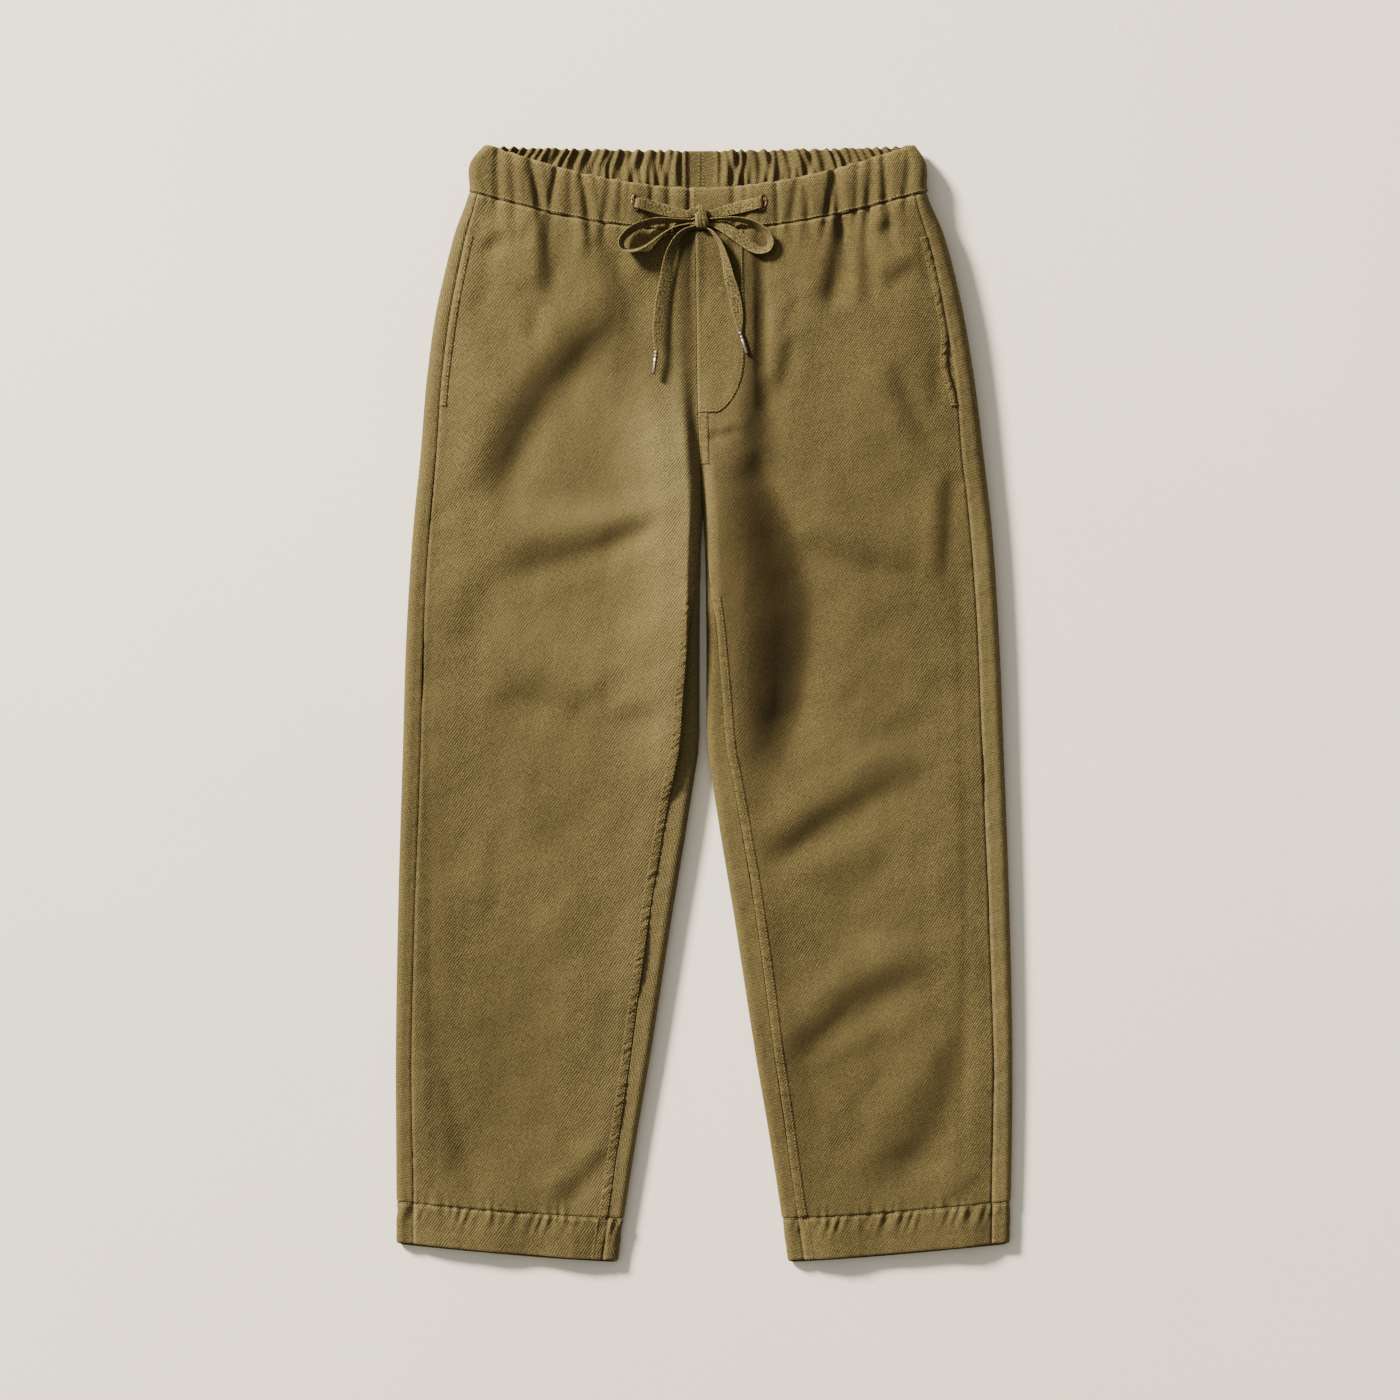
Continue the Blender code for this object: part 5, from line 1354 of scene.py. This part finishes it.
def make_fly():
    """The fly facing, the crotch fell under it and the backing of the open pocket."""
    def across_fly(level, path):
        total = path[-1, LENGTH]
        return total - fly_edge(level) * (1.0 - np.linspace(0.0, 1.0, 30))

    levels = levels_between(WAIST_SEAM - SEAM_GAP / 2, FLY_END, 1.8)
    fly = Sheet(levels, LEFT, front_path, across_fly)
    relieve_front(fly)
    width = np.array([fly_edge(level) for level in levels])[:, None]
    outer = np.minimum(width - fly.from_end, fly.level - FLY_END)
    fly.height = fly.height - 0.7 * bell(outer, 0.9) - 0.35 * bell(outer - 2.6, 0.8)
    fly.height = fly.height - 0.55 * bell(fly.from_end, 0.7)
    fly.wear_and_painted_light = np.clip(fly.wear_and_painted_light + 0.85 * bell(fly.from_end - 0.6, 0.9) + 0.3 * bell(outer - 0.8, 1.2), 0.0, 1.0)
    cloth_piece("fly_flap", fly, STRIP + 0.2, CLOTH_STRIP, over=REST_GAP + STRIP + 0.2, rounded=0.25)

    levels = levels_between(FLY_END - SEAM_GAP, CROTCH_FELL_END, 2.0)
    fell = Sheet(levels, LEFT, front_path, from_end(FELL_WIDTH, 15))
    relieve_strip(fell, FELL_WIDTH, fell.from_end)
    cloth_piece("crotch_fell", fell, STRIP, CLOTH_STRIP, over=REST_GAP + STRIP, rounded=0.2)

    levels = levels_between(POCKET_TOP - 2.0, POCKET_END, 4.0)
    facing = Sheet(levels, LEFT, facing_path, lambda level, path: np.linspace(0.0, path[-1, LENGTH], 9))
    cloth_piece("pocket_facing_left", facing, STRIP, over=-CLOTH - 2 * REST_GAP, rounded=0.0)


for each_side in (RIGHT, LEFT):
    make_leg(each_side)
    make_band(each_side)
    make_strips(each_side)
make_fly()


# Sewing: pitch, length, width and height of a stitch
STITCH_PITCH = 2.9
STITCH_LENGTH = 2.3
STITCH_WIDTH = 0.85
STITCH_HEIGHT = 0.5
HOLE_SIZE = (1.25, 1.15, 0.3)


def line_on(sheet, levels, distances, ending=False, over=0.0):
    """Points and normals along a line on a sheet, at levels and distances from its start or end."""
    points, normals = [], []
    laid = sheet.points(over)
    reach = sheet.from_end if ending else sheet.from_start
    for level, distance in zip(levels, distances):
        row = int(np.argmin(np.abs(sheet.level[:, 0] - level)))
        order = np.argsort(reach[row])
        spot = np.interp(distance, reach[row][order], order.astype(float))
        first = int(spot)
        share = spot - first
        second = min(first + 1, laid.shape[1] - 1)
        near = np.interp(level, sheet.level[::-1, 0], laid[::-1, first, 1]) - laid[row, first, 1]
        points.append(laid[row, first] * (1 - share) + laid[row, second] * share + [0.0, near, 0.0])
        normals.append(sheet.normals[row, first])
    return np.array(points), np.array(normals)


def line_round(sheet, level, over=0.0, columns=slice(None)):
    """Points and normals along a sheet's row."""
    row = int(np.argmin(np.abs(sheet.level[:, 0] - level)))
    return sheet.points(over)[row, columns], sheet.normals[row, columns]


def stitch_shape(bm, middle, turn, size, material=0):
    """One small rounded grain of thread, or one needle hole."""
    place = Matrix.Translation(middle) @ turn @ Matrix.Diagonal((size[0] / 2, size[1] / 2, size[2] / 2, 1.0))
    made = bmesh.ops.create_icosphere(bm, subdivisions=1, radius=1.0, matrix=place)
    for vert in made["verts"]:
        for face in vert.link_faces:
            face.material_index = material


def sew(bm, points, normals, pitch=STITCH_PITCH, length=STITCH_LENGTH, slant=0.06, holes=True):
    """Stitches half sunk along a line of points, in millimetres, with a dark hole at each end."""
    run = np.concatenate([[0.0], np.cumsum(np.linalg.norm(np.diff(points, axis=0), axis=1))])
    count = int(run[-1] / pitch)
    for k in range(count):
        place = (k + 0.5 + 0.07 * math.sin(2.1 * k)) * pitch
        spot = Vector([np.interp(place, run, points[:, axis]) for axis in range(3)])
        ahead = Vector([np.interp(place + 0.7, run, points[:, axis]) for axis in range(3)])
        ahead -= Vector([np.interp(place - 0.7, run, points[:, axis]) for axis in range(3)])
        normal = Vector([np.interp(place, run, normals[:, axis]) for axis in range(3)]).normalized()
        ahead.normalize()
        side = normal.cross(ahead).normalized()
        ahead = (ahead + side * (slant + 0.05 * math.sin(1.7 * k))).normalized()
        side = normal.cross(ahead).normalized()
        turn = Matrix((ahead, side, normal)).transposed().to_4x4()
        stitch_shape(bm, spot + normal * STITCH_HEIGHT * 0.2, turn, (length, STITCH_WIDTH, STITCH_HEIGHT))
        if holes:
            stitch_shape(bm, spot + ahead * pitch / 2, turn, HOLE_SIZE, material=1)


def bar_tack(bm, points, normals):
    """A dense bar of thread across the end of an opening."""
    sew(bm, points, normals, pitch=0.55, length=1.5, slant=9.0, holes=False)


def finish_sewing(bm, name):
    bmesh.ops.scale(bm, vec=(MM, MM, MM), verts=bm.verts)
    mesh = bpy.data.meshes.new(name)
    bm.to_mesh(mesh)
    bm.free()
    piece = rest_on_body(put_in_scene(name, mesh, THREAD, angle=80.0), "olive_twill")
    mesh.materials.append(NEEDLE_HOLES)
    return piece


def steps(start, end, step=2.0):
    return np.linspace(start, end, max(int(abs(end - start) / step), 2))


def sew_leg(side):
    """Inseam, pocket and hem stitching of one leg."""
    name = SIDE_NAMES[side]
    lifted = REST_GAP + STRIP
    bm = bmesh.new()
    fell = SHEETS["inseam_fell_" + name]
    for inset in (1.5, FELL_WIDTH - 1.5):
        levels = steps(FELL_TOP - 2.0, HEM_STITCH + 1.5)
        sew(bm, *line_on(fell, levels, np.full(len(levels), inset), ending=True, over=lifted))
    edge = SHEETS["pocket_edge_" + name]
    levels = steps(POCKET_TOP - 1.5, POCKET_END + 1.5)
    sew(bm, *line_on(edge, levels, np.full(len(levels), POCKET_EDGE - 1.3), over=lifted))
    for level in (POCKET_TOP - 1.2, POCKET_END + 1.6):
        distances = np.linspace(0.6, POCKET_EDGE - 0.5, 9)
        bar_tack(bm, *line_on(edge, np.full(9, level), distances, over=lifted))
    sew(bm, *line_round(SHEETS["hem_" + name], HEM_STITCH - 1.4))
    finish_sewing(bm, "sewing_" + name)


def sew_waist():
    """The seam under the waistband, the centre back, the fly and the crotch."""
    bm = bmesh.new()
    for side in (RIGHT, LEFT):
        band = SHEETS["waistband_" + SIDE_NAMES[side]]
        sew(bm, *line_round(band, WAIST_SEAM + 2.0))
        levels = steps(WAIST_TOP - 2.0, WAIST_SEAM + 2.0)
        points, normals = line_on(band, levels, np.full(len(levels), 1.7), ending=True, over=-BAND_WALL)
        sew(bm, points, -normals)
        levels = steps(WAIST_TOP - 1.5, WAIST_SEAM + 1.5)
    fly = SHEETS["fly_flap"]
    lifted = REST_GAP + STRIP + 0.2
    levels = np.concatenate([steps(WAIST_SEAM - 1.5, FLY_BEND), steps(FLY_BEND - 1.0, FLY_END + 1.4, 0.8)])
    for inset in (1.4,):
        distances = np.array([max(fly_edge(level) - inset, 0.0) for level in levels])
        sew(bm, *line_on(fly, levels, distances, ending=True, over=lifted))
    distances = np.linspace(fly_edge(FLY_END + 1.6) - 2.0, 1.0, 6)
    sew(bm, *line_on(fly, np.full(6, FLY_END + 1.3), distances, ending=True, over=lifted))
    distances = np.linspace(18.0, 1.0, 10)
    sew(bm, *line_on(fly, np.full(10, WAIST_SEAM - 7.5), distances, ending=True, over=lifted))
    fell = SHEETS["crotch_fell"]
    for inset in (1.5, FELL_WIDTH - 1.5):
        levels = steps(FLY_END - 2.0, CROTCH_FELL_END + 1.0)
        sew(bm, *line_on(fell, levels, np.full(len(levels), inset), ending=True, over=REST_GAP + STRIP))
    finish_sewing(bm, "sewing_waist")


# Eyelets: middle, lean from upright in degrees, and slopes of the band under them
EYELETS = {
    RIGHT: ((-59.0, 439.0, 29.6), 4.0, (-0.13, -0.12)),
    LEFT: ((52.0, 439.0, 29.9), -6.0, (0.0, -0.10)),
}
EYELET_HALF_WIDTH = 3.9
EYELET_HALF_HEIGHT = 7.6
EYELET_RINGS = ((0.0, 0.62, 0.15), (1.15, 0.5, -0.1))


def oval_ring(name, middle, lean, slopes, inset, radius, lift):
    """A turned ring of metal, oval, lying on the band."""
    turn = np.linspace(0.0, 2 * math.pi, 57)
    tube = np.linspace(0.0, 2 * math.pi, 13)
    out = np.stack([np.cos(turn), np.sin(turn)], axis=1)
    base = out * (EYELET_HALF_WIDTH - inset - 0.5, EYELET_HALF_HEIGHT - inset - 0.5)
    flat = base[:, None] + out[:, None] * (np.cos(tube)[None, :, None] * radius)
    angle = math.radians(lean)
    x = flat[..., 0] * math.cos(angle) - flat[..., 1] * math.sin(angle)
    y = flat[..., 0] * math.sin(angle) + flat[..., 1] * math.cos(angle)
    z = x * slopes[0] + y * slopes[1] + np.sin(tube)[None, :] * radius + lift
    points = np.stack([x, y, np.broadcast_to(z, x.shape)], axis=-1) + np.array(middle)
    uv = np.stack(np.broadcast_arrays(turn[:, None], tube[None, :]), axis=-1)
    return lay_grid(name, points * MM, uv * 0.001, EYELET_METAL, closed=True)


def make_eyelets():
    for side, (middle, lean, slopes) in EYELETS.items():
        for k, (inset, radius, lift) in enumerate(EYELET_RINGS):
            name = "eyelet_ring_%s_%d" % (SIDE_NAMES[side], k)
            ring = oval_ring(name, middle, lean, slopes, inset, radius, lift)
            rest_on_body(ring, "dull_metal", *(["eyelet_" + SIDE_NAMES[side]] if k == 0 else []))


# Aglet: place along it and radius, both as shares
AGLET_PROFILE = (
    (0.0, 0.30), (0.0, 0.86), (0.02, 0.98), (0.05, 1.0), (0.13, 1.0), (0.15, 0.84), (0.17, 0.84),
    (0.19, 1.0), (0.27, 1.0), (0.29, 0.84), (0.31, 0.84), (0.33, 1.0), (0.6, 0.97), (0.93, 0.92),
    (0.975, 0.84), (0.995, 0.6), (1.0, 0.2),
)


def make_aglet(side):
    """A rolled metal tip with two crimps, its seam running along it."""
    start, end = (Vector(point) for point in AGLETS[side])
    along = end - start
    turn = along.to_track_quat("Z", "Y").to_matrix()
    angle = np.linspace(0.0, 2 * math.pi, 25)
    points, uv = [], []
    for place, share in AGLET_PROFILE:
        radius = AGLET_RADIUS * share
        seam_groove = 1.0 - 0.12 * bell(angle - 1.9, 0.16)
        ring = [start + along * place + turn @ Vector((radius * g * math.cos(a), radius * g * math.sin(a), 0.0))
                for a, g in zip(angle, seam_groove)]
        points.append([tuple(point) for point in ring])
        uv.append([(a * AGLET_RADIUS, place * along.length) for a in angle])
    name = "aglet_tip_" + SIDE_NAMES[side]
    piece = lay_grid(name, np.array(points), np.array(uv), AGLET_METAL, closed=True, ends=True)
    return rest_on_body(piece, "dull_metal", "aglet_" + SIDE_NAMES[side])


KNOT_HALF_WIDTH = (4.4, 6.2)
KNOT_RADII = (10.4, 5.2)
KNOT_RIBS = 3.6


def make_knot():
    """The wrap of tape round the middle of the bow, ribbed where its layers lie side by side."""
    across = np.linspace(-1.0, 1.0, 41)
    turn = np.linspace(0.0, 2 * math.pi, 61)
    up = 0.5 + 0.5 * np.sin(turn)[:, None]
    half = KNOT_HALF_WIDTH[1] + (KNOT_HALF_WIDTH[0] - KNOT_HALF_WIDTH[1]) * up
    lean = 0.9 * np.sin(turn)[:, None] - 0.5
    x = half * across[None, :] - lean
    ribs = np.abs(np.sin(math.pi * (KNOT_RIBS * (across + 1.0) / 2 + 0.16 * np.sin(turn)[:, None])))
    round_off = 1.0 - 0.42 * np.abs(across[None, :]) ** 3.2
    relief = 0.55 * ribs ** 0.6 - 0.3
    y = np.sin(turn)[:, None] * (KNOT_RADII[0] * round_off + relief)
    z = np.cos(turn)[:, None] * (KNOT_RADII[1] * round_off + relief)
    z = np.where(z > 0, z, z * 0.9)
    points = np.stack([x, y, z], axis=-1) * MM + np.array(KNOT_MIDDLE)
    uv = np.stack(np.broadcast_arrays(turn[:, None] * 8.0 * MM, x * MM * 1.6), axis=-1)
    wrap = lay_grid("knot_wrap", points, uv, TAPE, closed=True, ends=True)
    rest_on_body(wrap, "woven_tape", "knot")
    end, _, _ = tape("knot_end", KNOT_END, TAPE)
    rest_on_body(end, "woven_tape")
    return [wrap, end]


# The end of the wrap, tucked in at the knot's upper left: x, y, z, width and roll
KNOT_END = [
    (-0.0036, 0.4290, 0.0330, 0.0044, -10), (-0.0058, 0.4312, 0.0343, 0.0048, -14),
    (-0.0086, 0.4318, 0.0339, 0.0050, -18), (-0.0112, 0.4306, 0.0318, 0.0046, -16),
    (-0.0136, 0.4294, 0.0290, 0.0040, -8),
]


def make_cords():
    """Each tape runs from its eyelet through the knot, round the far loop and down to its tip."""
    knot = make_knot()
    for side in (RIGHT, LEFT):
        name, far = SIDE_NAMES[side], SIDE_NAMES[-side]
        leads = {RIGHT: LEAD_RIGHT, LEFT: LEAD_LEFT}[side]
        loops = {RIGHT: LOOP_LEFT, LEFT: LOOP_RIGHT}[side]
        tails = {RIGHT: TAIL_RIGHT, LEFT: TAIL_LEFT}[side]
        rows = list(leads) + [THROUGH_UPPER[side]] + list(loops) + [THROUGH_LOWER[side]] + list(tails)
        cord, middle, length = tape("drawstring_" + name, rows, TAPE)
        rest_on_body(cord, "woven_tape", "cord_lead_" + name, "cord_loop_" + far, "cord_tail_" + name)
        aglet = make_aglet(side)
        print("drawstring", name, round(length, 4))


for each_side in (RIGHT, LEFT):
    sew_leg(each_side)
sew_waist()
make_eyelets()
make_cords()


def aimed(name, data, elevation):
    """A lamp that shines on the middle of the view, towards the lower right."""
    lamp = bpy.data.objects.new(name, data)
    rise, heading = math.radians(elevation), math.radians(KEY_HEADING)
    fall = Vector((math.cos(rise) * math.cos(heading), math.cos(rise) * math.sin(heading), -math.sin(rise)))
    lamp.location = -fall * KEY_DISTANCE
    lamp.rotation_euler = fall.to_track_quat("-Z", "Y").to_euler()
    lamp.visible_camera = False
    bpy.context.scene.collection.objects.link(lamp)


def add_key():
    """A round soft box, near enough for its light to fall off across the board."""
    box = bpy.data.lights.new("key", "AREA")
    box.shape = "DISK"
    box.size = 2.0 * KEY_DISTANCE * math.tan(math.radians(KEY_SOFTNESS) / 2)
    box.energy = KEY_STRENGTH * math.pi * KEY_DISTANCE ** 2
    box.color = KEY_COLOUR
    aimed("key", box, KEY_ELEVATION)


def add_fill():
    """Broad light from the same side."""
    sky = bpy.data.lights.new("fill", "SUN")
    sky.energy = FILL_STRENGTH
    sky.angle = math.radians(FILL_SOFTNESS)
    sky.color = FILL_COLOUR
    aimed("fill", sky, FILL_ELEVATION)


def floor_and_light():
    """The board that the trousers lie on, a key and a broad fill from the upper left, and a pale room."""
    bm = bmesh.new()
    bmesh.ops.create_grid(bm, x_segments=1, y_segments=1, size=FLOOR_HALF)
    mesh = bpy.data.meshes.new("board")
    bm.to_mesh(mesh)
    bm.free()
    put_in_scene("board", mesh, floor_material())

    add_key()
    add_fill()

    world = bpy.data.worlds.new("room")
    world.use_nodes = True
    room = world.node_tree.nodes["Background"]
    room.inputs["Color"].default_value = ROOM_COLOUR
    room.inputs["Strength"].default_value = ROOM_STRENGTH
    bpy.context.scene.world = world


FLOOR_HALF = 6.0
KEY_STRENGTH = 14.5
KEY_SOFTNESS = 11.0
KEY_DISTANCE = 8.0
KEY_COLOUR = (1.0, 0.955, 0.88)
KEY_ELEVATION = 28.0
KEY_HEADING = -42.0
FILL_STRENGTH = 1.4
FILL_SOFTNESS = 100.0
FILL_ELEVATION = 52.0
FILL_COLOUR = (1.0, 0.97, 0.93)
ROOM_COLOUR = (0.94, 0.96, 1.0, 1.0)
ROOM_STRENGTH = 0.22
floor_and_light()
